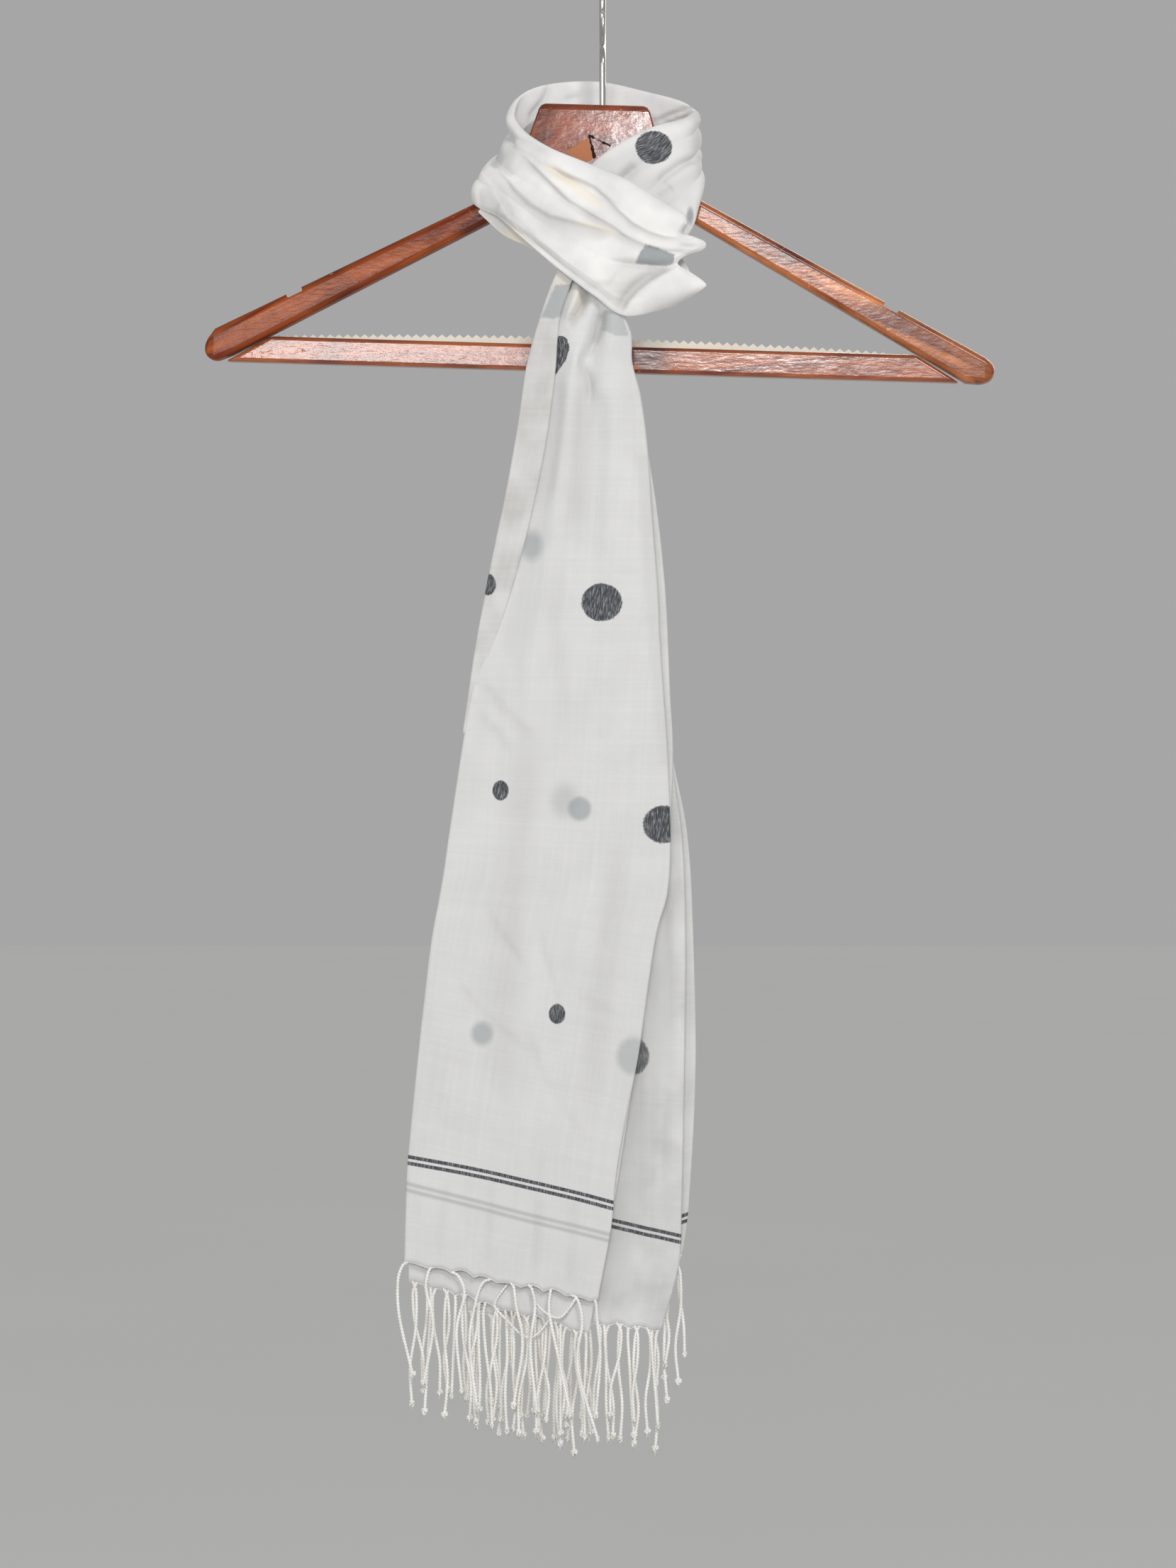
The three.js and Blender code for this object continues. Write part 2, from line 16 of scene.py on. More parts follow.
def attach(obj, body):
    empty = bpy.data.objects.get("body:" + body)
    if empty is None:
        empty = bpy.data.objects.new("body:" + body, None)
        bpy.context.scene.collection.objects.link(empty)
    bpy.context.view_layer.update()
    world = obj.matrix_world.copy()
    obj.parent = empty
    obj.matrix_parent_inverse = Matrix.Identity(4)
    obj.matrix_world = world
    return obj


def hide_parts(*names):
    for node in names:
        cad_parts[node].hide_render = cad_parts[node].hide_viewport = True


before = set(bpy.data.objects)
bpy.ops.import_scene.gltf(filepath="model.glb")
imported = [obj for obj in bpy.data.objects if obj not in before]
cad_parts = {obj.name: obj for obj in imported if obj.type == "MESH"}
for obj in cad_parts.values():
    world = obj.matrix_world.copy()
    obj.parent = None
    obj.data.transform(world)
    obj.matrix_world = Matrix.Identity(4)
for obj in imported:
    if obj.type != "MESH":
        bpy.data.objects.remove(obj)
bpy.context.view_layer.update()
MM = 0.001
print("nodes in the frame:", len(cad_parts))

# %% [markdown]
# ## The camera
# The photograph was taken from far away with a long lens, level, at about half the height of the
# scarf. From the known width of the hanger, 661 mm of its plane fill the picture's width, so the
# lens follows from the distance. The camera comes first because the marks on the cloth are
# measured in the photograph as they are seen in one plane, and the cloth lies a little off it.

# %% Camera at the photograph's angle
CAMERA_X, CAMERA_Z = -8.2, -458.3
CAMERA_DISTANCE = 2600.0  # from the plane where the scale was measured
MEASURED_PLANE = -11.0  # y of that plane
TALL_VIEW = 881.3  # how much of that plane the picture's height takes in
SENSOR = 36.0

camera_data = bpy.data.cameras.new("camera")
camera_data.sensor_width = SENSOR
camera_data.lens = SENSOR * CAMERA_DISTANCE / TALL_VIEW
camera = bpy.data.objects.new("camera", camera_data)
camera.location = Vector((CAMERA_X, MEASURED_PLANE - CAMERA_DISTANCE, CAMERA_Z)) * MM
camera.rotation_euler = (math.radians(90), 0, 0)
bpy.context.scene.collection.objects.link(camera)
bpy.context.scene.camera = camera


def place_seen(x, z, y):
    """Where something seen at (x, z) in the measured plane really is, when it lies at depth y."""
    nearness = (CAMERA_DISTANCE + y - MEASURED_PLANE) / CAMERA_DISTANCE
    return CAMERA_X + (x - CAMERA_X) * nearness, CAMERA_Z + (z - CAMERA_Z) * nearness


print("lens", round(camera_data.lens, 1), "mm")

# %% [markdown]
# ## Small helpers for materials
# A colour picked from a screen is in sRGB, but a shader works with linear light, so each colour
# goes through one function. One more function adds a node, gives it its settings and joins it up.

# %% Colours and nodes


def linear(hex_colour):
    """A linear RGBA colour from an sRGB hex one."""
    parts = [int(hex_colour[k : k + 2], 16) / 255 for k in (1, 3, 5)]
    curve = [c / 12.92 if c <= 0.04045 else ((c + 0.055) / 1.055) ** 2.4 for c in parts]
    return (*curve, 1.0)


def add_node(tree, kind, settings=None, links=None):
    """Adds a node. A setting is a property or an input, and a link is a node or one output."""
    new = tree.nodes.new("ShaderNode" + kind)
    for name, value in (settings or {}).items():
        if isinstance(name, int) or name in new.inputs:
            new.inputs[name].default_value = value
        else:
            setattr(new, name, value)
    for name, source in (links or {}).items():
        out = source.outputs[0] if hasattr(source, "outputs") else source
        tree.links.new(out, new.inputs[name])
    return new


def new_material(name):
    """A material with just a shader, joined to its output."""
    material = bpy.data.materials.new(name)
    material.use_nodes = True
    tree = material.node_tree
    tree.nodes.clear()
    shader = add_node(tree, "BsdfPrincipled")
    add_node(tree, "OutputMaterial", links={"Surface": shader})
    return material, tree, shader


def blend_colours(tree, share, first, second):
    """Goes from the first colour to the second as share goes from 0 to 1. A colour is a hex one
    or what another node gives."""
    settings, links = {"data_type": "RGBA"}, {0: share}
    for socket, colour in ((6, first), (7, second)):
        if isinstance(colour, str):
            settings[socket] = linear(colour)
        else:
            links[socket] = colour
    return add_node(tree, "Mix", settings, links).outputs[2]


# %% [markdown]
# ## Helpers for making pieces
# Cloth is made as a grid of points, because its folds are easiest to place as lines on a surface.
# A grid keeps the real distances along and across the cloth as its UV map, in metres, so a weave
# drawn on that map has threads of one size wherever the cloth turns.

# %% Grids, tables and smooth curves


def table(names, rows):
    """Named columns from a list of rows."""
    columns = np.array(rows, dtype=float).T
    return dict(zip(names, columns))


def read(rows, along, value, place):
    """Reads one column at any place along another, on a smooth curve through its rows."""
    xs, ys = rows[along], rows[value]
    place = np.clip(np.asarray(place, dtype=float), xs[0], xs[-1])
    slopes = np.empty_like(ys)
    slopes[1:-1] = (ys[2:] - ys[:-2]) / (xs[2:] - xs[:-2])
    slopes[0] = (ys[1] - ys[0]) / (xs[1] - xs[0])
    slopes[-1] = (ys[-1] - ys[-2]) / (xs[-1] - xs[-2])
    k = np.clip(np.searchsorted(xs, place, side="right") - 1, 0, len(xs) - 2)
    span = xs[k + 1] - xs[k]
    t = (place - xs[k]) / span
    rise = ys[k + 1] - ys[k]
    ease = t * (1 - t)
    return ys[k] + rise * t + ease * ((1 - t) * (slopes[k] * span - rise) - t * (slopes[k + 1] * span - rise))


def smoothstep(value, low, high):
    t = np.clip((value - low) / (high - low), 0, 1)
    return t * t * (3 - 2 * t)


def distance_to_line(x, z, line):
    """How far points are from a broken line of (x, z) corners, their share along it, and 1 if
    they lie to its left, -1 to its right."""
    best = np.full(np.shape(x), 1e9)
    share, left = np.zeros(np.shape(x)), np.ones(np.shape(x))
    corners = np.array(line, dtype=float)
    lengths = np.hypot(*(corners[1:] - corners[:-1]).T)
    total, before = lengths.sum(), 0.0
    for start, end, length in zip(corners[:-1], corners[1:], lengths):
        step = (end - start) / length
        t = np.clip((x - start[0]) * step[0] + (z - start[1]) * step[1], 0, length)
        gap = np.hypot(x - start[0] - t * step[0], z - start[1] - t * step[1])
        nearer = gap < best
        best = np.where(nearer, gap, best)
        share = np.where(nearer, (before + t) / total, share)
        turn = step[0] * (z - start[1]) - step[1] * (x - start[0])
        left = np.where(nearer, np.sign(turn), left)
        before += length
    return best, share, left


def link_smooth(name, mesh):
    """Puts a finished mesh in the scene, with smooth faces."""
    mesh.shade_smooth()
    piece = bpy.data.objects.new(name, mesh)
    bpy.context.scene.collection.objects.link(piece)
    return piece


def grid_piece(name, points, closed=False, caps=False, hollow=None):
    """A mesh from points[row, column], in millimetres, with real lengths in metres as its UV map.
    Hollow is kept as an attribute: how deep in a fold each point lies, up to 1, below 0 on a crest."""
    rows, columns, _ = points.shape
    vertices = [tuple(p * MM) for p in points.reshape(-1, 3)]
    across = np.cumsum(np.linalg.norm(np.diff(points, axis=1, append=points[:, :1]), axis=2), axis=1)
    across = np.concatenate([np.zeros((rows, 1)), across], axis=1)
    across -= across[:, columns // 2 : columns // 2 + 1]
    along = np.cumsum(np.linalg.norm(np.diff(points, axis=0, prepend=points[:1]), axis=2).mean(axis=1))
    faces, coords = [], []
    for r in range(rows - 1):
        for c in range(columns if closed else columns - 1):
            n = (c + 1) % columns
            faces.append((r * columns + c, (r + 1) * columns + c, (r + 1) * columns + n, r * columns + n))
            coords += [(across[r, c], along[r]), (across[r + 1, c], along[r + 1])]
            coords += [(across[r + 1, c + 1], along[r + 1]), (across[r, c + 1], along[r])]
    if caps:
        for r, turn in ((0, 1), (rows - 1, -1)):
            for c in range(columns // 2 - 1):
                other = columns - 1 - c
                corners = [c, c + 1, other - 1, other][::turn]
                faces.append(tuple(r * columns + k for k in corners))
                coords += [(across[r, k], along[r]) for k in corners]
    mesh = bpy.data.meshes.new(name)
    mesh.from_pydata(vertices, [], faces)
    uv = mesh.uv_layers.new(name="cloth")
    uv.data.foreach_set("uv", np.array(coords).ravel() * MM)
    if hollow is not None:
        mesh.attributes.new("hollow", "FLOAT", "POINT").data.foreach_set("value", hollow.ravel())
    return link_smooth(name, mesh)


def select_only(piece):
    bpy.ops.object.select_all(action="DESELECT")
    piece.select_set(True)
    bpy.context.view_layer.objects.active = piece


def add_modifier(piece, kind, **settings):
    """Adds a modifier, gives it its settings and applies it."""
    modifier = piece.modifiers.new(kind.lower(), kind)
    for name, value in settings.items():
        setattr(modifier, name, value)
    select_only(piece)
    bpy.ops.object.modifier_apply(modifier=modifier.name)


def face_outwards(piece):
    """Turns all faces of a closed piece outwards, after its doubles are merged."""
    select_only(piece)
    bpy.ops.object.mode_set(mode="EDIT")
    bpy.ops.mesh.select_all(action="SELECT")
    bpy.ops.mesh.remove_doubles(threshold=1e-6)
    bpy.ops.mesh.normals_make_consistent(inside=False)
    bpy.ops.object.mode_set(mode="OBJECT")


def hand_over(piece, slot, material, *nodes):
    """Gives a finished piece its material, its body and the nodes that it stands for."""
    piece.data.materials.clear()
    piece.data.materials.append(material)
    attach(piece, "root")
    if nodes:
        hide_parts(*nodes)
    print(piece.name, "has", len(piece.data.polygons), "faces")


# %% [markdown]
# ## Lacquered wood
# The hanger is beech, stained red-brown and thickly lacquered by dipping. The shader's own surface
# is the stained wood, and its coat is the lacquer: glossy and a little wavy. The lacquer has been
# worn thin by hands, and has cracked and flaked off in places, where the wood shows lighter and
# dull. Grain runs along each arm, so a Mapping node turns the pattern with the arm. The large
# flake on the head, and the cracks beside it, are patches between straight lines.

# %% Wood material


def inside_patch(tree, place, corners):
    """How far inside a flat patch a point is, in metres. Corners are (x, z), clockwise as seen."""
    nearest = None
    for (x, z), (next_x, next_z) in zip(corners, corners[1:] + corners[:1]):
        length = math.hypot(next_x - x, next_z - z)
        inward = ((next_z - z) / length, 0.0, (x - next_x) / length)
        side = add_node(tree, "VectorMath", {"operation": "DOT_PRODUCT", 1: inward}, {0: place})
        level = (inward[0] * x + inward[2] * z) * MM
        depth = add_node(tree, "Math", {"operation": "SUBTRACT", 1: level}, {0: side.outputs["Value"]})
        if nearest is not None:
            depth = add_node(tree, "Math", {"operation": "MINIMUM"}, {0: nearest, 1: depth})
        nearest = depth
    return nearest


# Where the lacquer has come off the head in one large flake, and the cracks beside it
HEAD_FLAKE = [(-21.6, -101.6), (-7.8, -94.3), (-4.6, -105.6), (-11.0, -109.6)]
HEAD_CRACKS = [[(-8.4, -93.2), (-7.0, -92.8), (-3.6, -105.6), (-5.2, -106.2)],
               [(-7.6, -92.5), (4.6, -98.7), (4.2, -99.6), (-8.0, -93.6)]]


def lacquered_wood(name, lean, wear, tone, gloss):
    """Wood whose grain leans by an angle in degrees. Wear says where the lacquer has gone, from 0
    for everywhere to 1 for nowhere, and gloss how thick it still is on the arms."""
    material, tree, shader = new_material(name)
    place = add_node(tree, "TexCoord").outputs["Object"]
    turned = add_node(tree, "Mapping", {"Rotation": (0, math.radians(lean), 0)}, {"Vector": place})
    # long bands: real ones are 3 to 6 mm apart and run for tens of millimetres
    along = add_node(tree, "Mapping", {"Scale": (0.06, 1, 1)}, {"Vector": turned})
    banded = {"Scale": 150.0, "Detail": 4.0, "Distortion": 0.8}
    bands = add_node(tree, "TexNoise", banded, {"Vector": along})
    pores = add_node(tree, "TexNoise", {"Scale": 900.0, "Detail": 3.0}, {"Vector": along})
    # both halves of the head show one level grain, so that the joint in it hardly shows
    apart = add_node(tree, "SeparateXYZ", links={0: place})
    off_middle = add_node(tree, "Math", {"operation": "ABSOLUTE"}, {0: apart.outputs["X"]})
    on_arm = add_node(tree, "MapRange", {"From Min": 0.03, "From Max": 0.05}, {"Value": off_middle})
    level = add_node(tree, "Mapping", {"Scale": (0.25, 1, 1)}, {"Vector": place})
    broad = {"Scale": 95.0, "Detail": 3.0, "Distortion": 0.6}
    plain = add_node(tree, "TexNoise", broad, {"Vector": level})
    grain = add_node(tree, "Mix", {}, {0: on_arm, 2: plain, 3: bands})
    stain = add_node(tree, "TexNoise", {"Scale": 22.0, "Detail": 3.0}, {"Vector": place})
    torn = {"Scale": 105.0, "Detail": 6.0, "Distortion": 1.4}
    flakes = add_node(tree, "TexNoise", torn, {"Vector": place})
    light = add_node(tree, "MapRange", {"From Min": 0.3, "From Max": 0.72}, {"Value": grain})
    bright = blend_colours(tree, on_arm, "#a04f2c", tone)
    base = blend_colours(tree, light, "#64220f", bright)
    stained = {"From Min": 0.5, "From Max": 0.68, "To Max": 0.75}
    dark = add_node(tree, "MapRange", stained, {"Value": stain})
    base = blend_colours(tree, dark, base, "#3c1109")
    fine = {"From Min": 0.3, "From Max": 0.48, "To Min": 0.35, "To Max": 0.0}
    pore_share = add_node(tree, "MapRange", fine, {"Value": pores})
    base = blend_colours(tree, pore_share, base, "#45190d")
    bare = add_node(tree, "MapRange", {"From Min": wear, "From Max": wear + 0.012}, {"Value": flakes})
    ragged = add_node(tree, "MapRange", {"To Min": -0.0014, "To Max": 0.0014}, {"Value": flakes})
    patch = add_node(tree, "Math", {}, {0: inside_patch(tree, place, HEAD_FLAKE), 1: ragged})
    peeled = add_node(tree, "MapRange", {"From Min": -0.0001, "From Max": 0.0002}, {"Value": patch})
    bare = add_node(tree, "Math", {"operation": "MAXIMUM"}, {0: bare, 1: peeled})
    base = blend_colours(tree, bare, base, "#bd7d5b")
    cracks = []
    for corners in HEAD_CRACKS:
        inside = add_node(tree, "Math", {}, {0: inside_patch(tree, place, corners), 1: ragged})
        cracks.append(
            add_node(tree, "MapRange", {"From Min": -0.0002, "From Max": 0.0002}, {"Value": inside})
        )
    gaps = add_node(tree, "Math", {"operation": "MAXIMUM"}, {0: cracks[0], 1: cracks[1]})
    base = blend_colours(tree, gaps, base, "#2c120c")
    tree.links.new(base, shader.inputs["Base Color"])
    worn = add_node(tree, "Math", {"operation": "MAXIMUM"}, {0: bare, 1: gaps})
    rough = add_node(tree, "MapRange", {"To Min": 0.48, "To Max": 0.62}, {"Value": worn})
    tree.links.new(rough.outputs[0], shader.inputs["Roughness"])
    left_on = add_node(tree, "Math", {"operation": "SUBTRACT", 0: 1.0}, {1: worn})
    # hands have thinned the lacquer of the head, most at its left
    handled = {"From Min": -0.03, "From Max": 0.008, "To Min": 0.42, "To Max": 1.0}
    on_head = add_node(tree, "MapRange", handled, {"Value": apart.outputs["X"]})
    thickness = add_node(tree, "Mix", {3: gloss}, {0: on_arm, 2: on_head})
    coat = add_node(tree, "Math", {"operation": "MULTIPLY"}, {0: left_on, 1: thickness})
    tree.links.new(coat.outputs[0], shader.inputs["Coat Weight"])
    # the lacquer is wavy where it ran, and has fine brush marks along the board
    waves = add_node(tree, "TexNoise", {"Scale": 120.0, "Detail": 3.0}, {"Vector": place})
    strokes = add_node(tree, "TexNoise", {"Scale": 620.0, "Detail": 3.0}, {"Vector": level})
    low = add_node(tree, "Bump", {"Strength": 0.16, "Distance": 0.0007}, {"Height": waves})
    low = add_node(tree, "Bump", {"Strength": 0.2, "Distance": 0.0003}, {"Height": strokes, "Normal": low})
    # bare wood lies lower than the lacquer round it, by about 0.4 mm where it is thickest
    step = {"Strength": 0.6, "Distance": 0.0004, "invert": True}
    edge = add_node(tree, "Bump", step, {"Height": worn, "Normal": low})
    tree.links.new(edge.outputs[0], shader.inputs["Normal"])
    tree.links.new(low.outputs[0], shader.inputs["Coat Normal"])
    shader.inputs["Coat Roughness"].default_value = 0.15
    shader.inputs["Specular IOR Level"].default_value = 0.12
    return material


# the arms are one stain: the right arm's lighter tone is painted light, for the stronger light that falls on
# it
left_wood = lacquered_wood("lacquered_beech_left", 27.0, 0.7, "#b25a24", 0.16)
right_wood = lacquered_wood("lacquered_beech_right", -27.0, 0.69, "#d98750", 0.45)
bar_wood = lacquered_wood("lacquered_beech_bar", 2.0, 0.69, "#b46336", 1.0)

# %% [markdown]
# ## Voile, dots and stripes
# The cloth is cotton voile: fine, loosely woven, matt and slightly see-through, with a few thicker
# threads in both directions. The dots are woven in with charcoal thread, so white threads still
# show in them and their edges are ragged. Where a dot or a stripe lies on a layer beneath, it
# shows through as a soft grey shadow, which is drawn with a wide, faint edge.
# Real threads are 0.4 mm apart, too fine to show here, so they are drawn coarser: 0.9 mm apart
# in the ground, and in the dots as slanting runs about 0.7 mm wide and 4 mm long.

# %% Cloth material
THREAD = 0.0009
CHARCOAL = "#404349"
SHADOW = "#9a9fa1"
SHADE_PAINT_COLOUR = "#c6c6c4"  # painted shade: cloth in the shade of a fold or of another layer, and a single layer that lets light through
# painted warm light, as bounced between folds of the white cloth
BOUNCE_WARMTH = "#eedfc6"
MARK_COLUMNS = ["x", "y", "z", "wide", "deep", "high", "soft", "strength"]
MARK_DEPTH = 14.0  # how far a mark reaches to each side: through its layer, but not across the wrap


def weave(tree, place):
    """Heights of crossing threads from 0 to 1, and slubs, where single threads are thicker."""
    woven = {"Scale": 0.5 / THREAD / math.pi, "Distortion": 0.6, "Detail Scale": 3.0}
    warp, weft = [
        add_node(tree, "TexWave", {"bands_direction": way, **woven}, {"Vector": place}).outputs["Fac"]
        for way in "XY"
    ]
    threads = add_node(tree, "Math", {"operation": "MAXIMUM"}, {0: warp, 1: weft})
    slubs = []
    for scale in ((420, 9, 1), (11, 460, 1)):
        stretched = add_node(tree, "Mapping", {"Scale": scale}, {"Vector": place})
        slubs.append(add_node(tree, "TexNoise", {"Scale": 1.0, "Detail": 2.0}, {"Vector": stretched}))
    slub = add_node(tree, "Math", {"operation": "ADD"}, {0: slubs[0], 1: slubs[1]})
    return threads, slub


def mark_share(tree, place, ragged, mark):
    """1 inside a mark and 0 outside it, with an edge as soft as the mark says. A mark is an oval,
    or a patch with corners where a fold cuts it."""
    if "corners" in mark:
        inside = inside_patch(tree, place, mark["corners"])
        shaky = add_node(tree, "Math", {"operation": "MULTIPLY_ADD", 1: 0.012}, {0: ragged, 2: inside})
        soft = mark["soft"] * MM
        edge = {"From Min": -soft, "From Max": soft, "To Max": mark["strength"]}
        return add_node(tree, "MapRange", {"interpolation_type": "SMOOTHSTEP", **edge}, {"Value": shaky})
    middle = tuple(mark[axis] * MM for axis in "xyz")
    centre = add_node(tree, "VectorMath", {"operation": "SUBTRACT", 1: middle}, {0: place})
    size = tuple(1000 / mark[k] for k in ("wide", "deep", "high"))
    scaled = add_node(tree, "VectorMath", {"operation": "MULTIPLY", 1: size}, {0: centre})
    radius = add_node(tree, "VectorMath", {"operation": "LENGTH"}, {0: scaled})
    uneven = add_node(tree, "Math", {"operation": "ADD"}, {0: radius.outputs["Value"], 1: ragged})
    edge = {"From Min": 1 - mark["soft"], "From Max": 1 + mark["soft"]}
    level = {"To Min": mark["strength"], "To Max": 0.0}
    settings = {"interpolation_type": "SMOOTHSTEP", **edge, **level}
    return add_node(tree, "MapRange", settings, {"Value": uneven})


def stripe_share(tree, place, stripe):
    """1 on a pair of stripes that follow a gentle curve, and 0 off it: with x from where it starts,
    the curve is z = level - lean * x - bow * x * x, in metres."""
    apart = add_node(tree, "SeparateXYZ", links={0: place})
    start = {"operation": "SUBTRACT", 1: stripe["start"] * MM}
    from_start = add_node(tree, "Math", start, {0: apart.outputs["X"]})
    bent = {"operation": "MULTIPLY_ADD", 1: stripe["bow"], 2: stripe["lean"]}
    curve = add_node(tree, "Math", bent, {0: from_start})
    sloped = add_node(tree, "Math", {"operation": "MULTIPLY"}, {0: curve, 1: from_start})
    wavy = add_node(tree, "Math", {"operation": "ADD"}, {0: sloped, 1: apart.outputs["Z"]})
    level = add_node(tree, "Math", {"operation": "SUBTRACT", 1: stripe["level"] * MM}, {0: wavy})
    height = add_node(tree, "Math", {"operation": "ABSOLUTE"}, {0: level})
    off_line = add_node(tree, "Math", {"operation": "SUBTRACT", 1: stripe["apart"] * MM / 2}, {0: height})
    gap = add_node(tree, "Math", {"operation": "ABSOLUTE"}, {0: off_line})
    half, soft = stripe["thick"] * MM / 2, stripe["soft"]
    edge = {"From Min": half * (1 - soft), "From Max": half * (1 + soft)}
    level = {"To Min": stripe["strength"], "To Max": 0.0}
    settings = {"interpolation_type": "SMOOTHSTEP", **edge, **level}
    return add_node(tree, "MapRange", settings, {"Value": gap})


def voile(name, colour, woven=(), shadows=(), stripes=(), shadow_stripes=(), bounce_warmth=(), painted_shade=()):
    """Cotton voile with its own marks. Woven ones are on this layer, shadows on one beneath. Painted shade
    and painted warm bounce light are laid on as patches.
    """
    material, tree, shader = new_material(name)
    coordinates = add_node(tree, "TexCoord")
    place = coordinates.outputs["Object"]
    threads, slub = weave(tree, coordinates.outputs["UV"])
    rag = add_node(tree, "TexNoise", {"Scale": 800.0, "Detail": 2.0}, {"Vector": place})
    ragged = add_node(tree, "MapRange", {"To Min": -0.08, "To Max": 0.08}, {"Value": rag})
    blotch = add_node(tree, "TexNoise", {"Scale": 38.0, "Detail": 2.0}, {"Vector": place})
    uneven = add_node(tree, "MapRange", {"From Min": 0.35, "From Max": 0.7}, {"Value": blotch})
    base = blend_colours(tree, uneven, colour, "#d8d8d8")
    thick_threads = {"From Min": 0.9, "From Max": 1.4, "To Max": 0.15}
    slub_share = add_node(tree, "MapRange", thick_threads, {"Value": slub})
    base = blend_colours(tree, slub_share, base, "#f2f2f0")
    # painted shade: less light reaches the bottom of a fold than its crest
    sunk = add_node(tree, "Attribute", {"attribute_name": "hollow"})
    down = add_node(tree, "MapRange", {"To Max": 0.55}, {"Value": sunk.outputs["Fac"]})
    base = blend_colours(tree, down, base, "#9f9d9a")
    # painted shade, painted warm bounce light and the grey shadows of marks beneath
    for marks, shade in ((painted_shade, SHADE_PAINT_COLOUR), (bounce_warmth, BOUNCE_WARMTH), (shadows, SHADOW)):
        for mark in marks:
            share = mark_share(tree, place, ragged, mark)
            base = blend_colours(tree, share, base, shade)
    for stripe in shadow_stripes:
        base = blend_colours(tree, stripe_share(tree, place, stripe), base, SHADOW)
    charcoal = [mark_share(tree, place, ragged, mark) for mark in woven]
    charcoal += [stripe_share(tree, place, stripe) for stripe in stripes]
    if charcoal:
        covered = charcoal[0]
        for share in charcoal[1:]:
            covered = add_node(tree, "Math", {"operation": "MAXIMUM"}, {0: covered, 1: share})
        # white threads of the ground show between the charcoal ones, in short slanting runs
        for turn, left_over in ((38, 0.58), (-50, 0.84)):
            lie = {"Rotation": (0, 0, math.radians(turn)), "Scale": (1500, 240, 1)}
            slanting = add_node(tree, "Mapping", lie, {"Vector": coordinates.outputs["UV"]})
            runs = add_node(tree, "TexNoise", {"Scale": 1.0, "Detail": 2.0}, {"Vector": slanting})
            kept = {"From Min": 0.48, "From Max": 0.74, "To Min": 1.0, "To Max": left_over}
            between = add_node(tree, "MapRange", kept, {"Value": runs})
            covered = add_node(tree, "Math", {"operation": "MULTIPLY"}, {0: covered, 1: between})
        base = blend_colours(tree, covered, base, CHARCOAL)
    tree.links.new(base, shader.inputs["Base Color"])
    bump = add_node(tree, "Bump", {"Strength": 0.25, "Distance": 0.00012}, {"Height": threads})
    lumps = add_node(tree, "Bump", {"Strength": 0.2, "Distance": 0.0002}, {"Height": slub, "Normal": bump})
    tree.links.new(lumps.outputs[0], shader.inputs["Normal"])
    shader.inputs["Roughness"].default_value = 0.88
    shader.inputs["Sheen Weight"].default_value = 0.12
    shader.inputs["Specular IOR Level"].default_value = 0.25
    shader.inputs["Subsurface Weight"].default_value = 0.12
    shader.inputs["Subsurface Radius"].default_value = (0.004, 0.004, 0.004)
    return material


def marks(*rows):
    """Marks as dictionaries with named values."""
    return [dict(zip(MARK_COLUMNS, row)) for row in rows]


def stripe_pair(start, level, lean, bow=0.0, thick=2.1, soft=0.25, strength=1.0):
    """Two stripes side by side. All pairs on the scarf are equally far apart."""
    row = {"start": start, "level": level, "lean": lean, "bow": bow, "apart": 3.6}
    return [{**row, "thick": thick, "soft": soft, "strength": strength}]


def seen_marks(depth, *rows):
    """Marks measured in the photograph on cloth that lies at one depth. A row is x, z, width,
    height, softness and strength."""
    placed = []
    for x, z, wide, high, soft, strength in rows:
        real_x, real_z = place_seen(x, z, depth)
        placed.append((real_x, depth, real_z, wide / 2, MARK_DEPTH, high / 2, soft, strength))
    return marks(*placed)


def seen_patch(depth, soft, strength, *corners):
    """A patch with corners as seen, clockwise, on cloth that lies at one depth."""
    return [{"corners": [place_seen(x, z, depth) for x, z in corners], "soft": soft, "strength": strength}]


# %% [markdown]
# ## The wrap round the neck
# The scarf is folded in four lengthwise and doubled, so what goes round the hanger's neck is a
# soft flat bundle. It is swept along a row of sections, each with a neck edge and a lower edge.
# Creases part it into ribs, and single folds are pressed in as troughs along lines measured in
# the photograph. One sweep makes the whole run, because it is one length of cloth.

# %% Sections of the wrap
WRAP = table(
    ["topX", "topY", "topZ", "lowX", "lowY", "lowZ", "thick"],
    [
        [46.3, -26.5, -139.9, 38.8, -20.5, -191.5, 4.4],
        [32, -28, -131.7, 12.6, -26.5, -196.9, 5.2],
        [12.6, -29.5, -120.4, -5, -28.5, -185.8, 5.6],
        [-11.2, -28, -110.3, -25.8, -28, -170.1, 5.6],
        [-27.9, -24, -103, -43.8, -24.5, -154.1, 5.6],
        [-40.9, -15.5, -94.1, -58.9, -17, -140.2, 5.6],
        [-47.6, -6.5, -85.9, -70.2, -8, -134, 5.6],
        [-49.7, 4, -77.8, -73, 2.5, -128.6, 5.6],
        [-44.4, 15.5, -66, -65.6, 17.5, -126, 5.6],
        [-28.3, 22.5, -59.4, -40.4, 23.5, -130, 5.6],
        [-1.9, 25, -58, -6, 25, -133, 5.6],
        [24.4, 21.5, -64.1, 28.5, 21.5, -130, 5.6],
        [43.5, 13, -70.5, 47.5, 13.5, -127, 5.6],
        [51.8, 2, -77.4, 52.6, 1.5, -126.2, 5.6],
        [51, -6, -80, 54, -8.5, -126.6, 5.6],
        [44, -12.5, -84.8, 53.6, -17, -136, 5.6],
        [27.9, -15.5, -89.6, 49.9, -17.8, -147.8, 6],
        [8, -18, -100, 40.9, -17.8, -158.8, 7],
        [-9, -18.2, -114, 29.9, -17.8, -168.8, 8],
        [-19, -18.2, -137, 20, -17.8, -180, 8],
    ],
)
WRAP["station"] = np.arange(len(WRAP["topX"]), dtype=float)

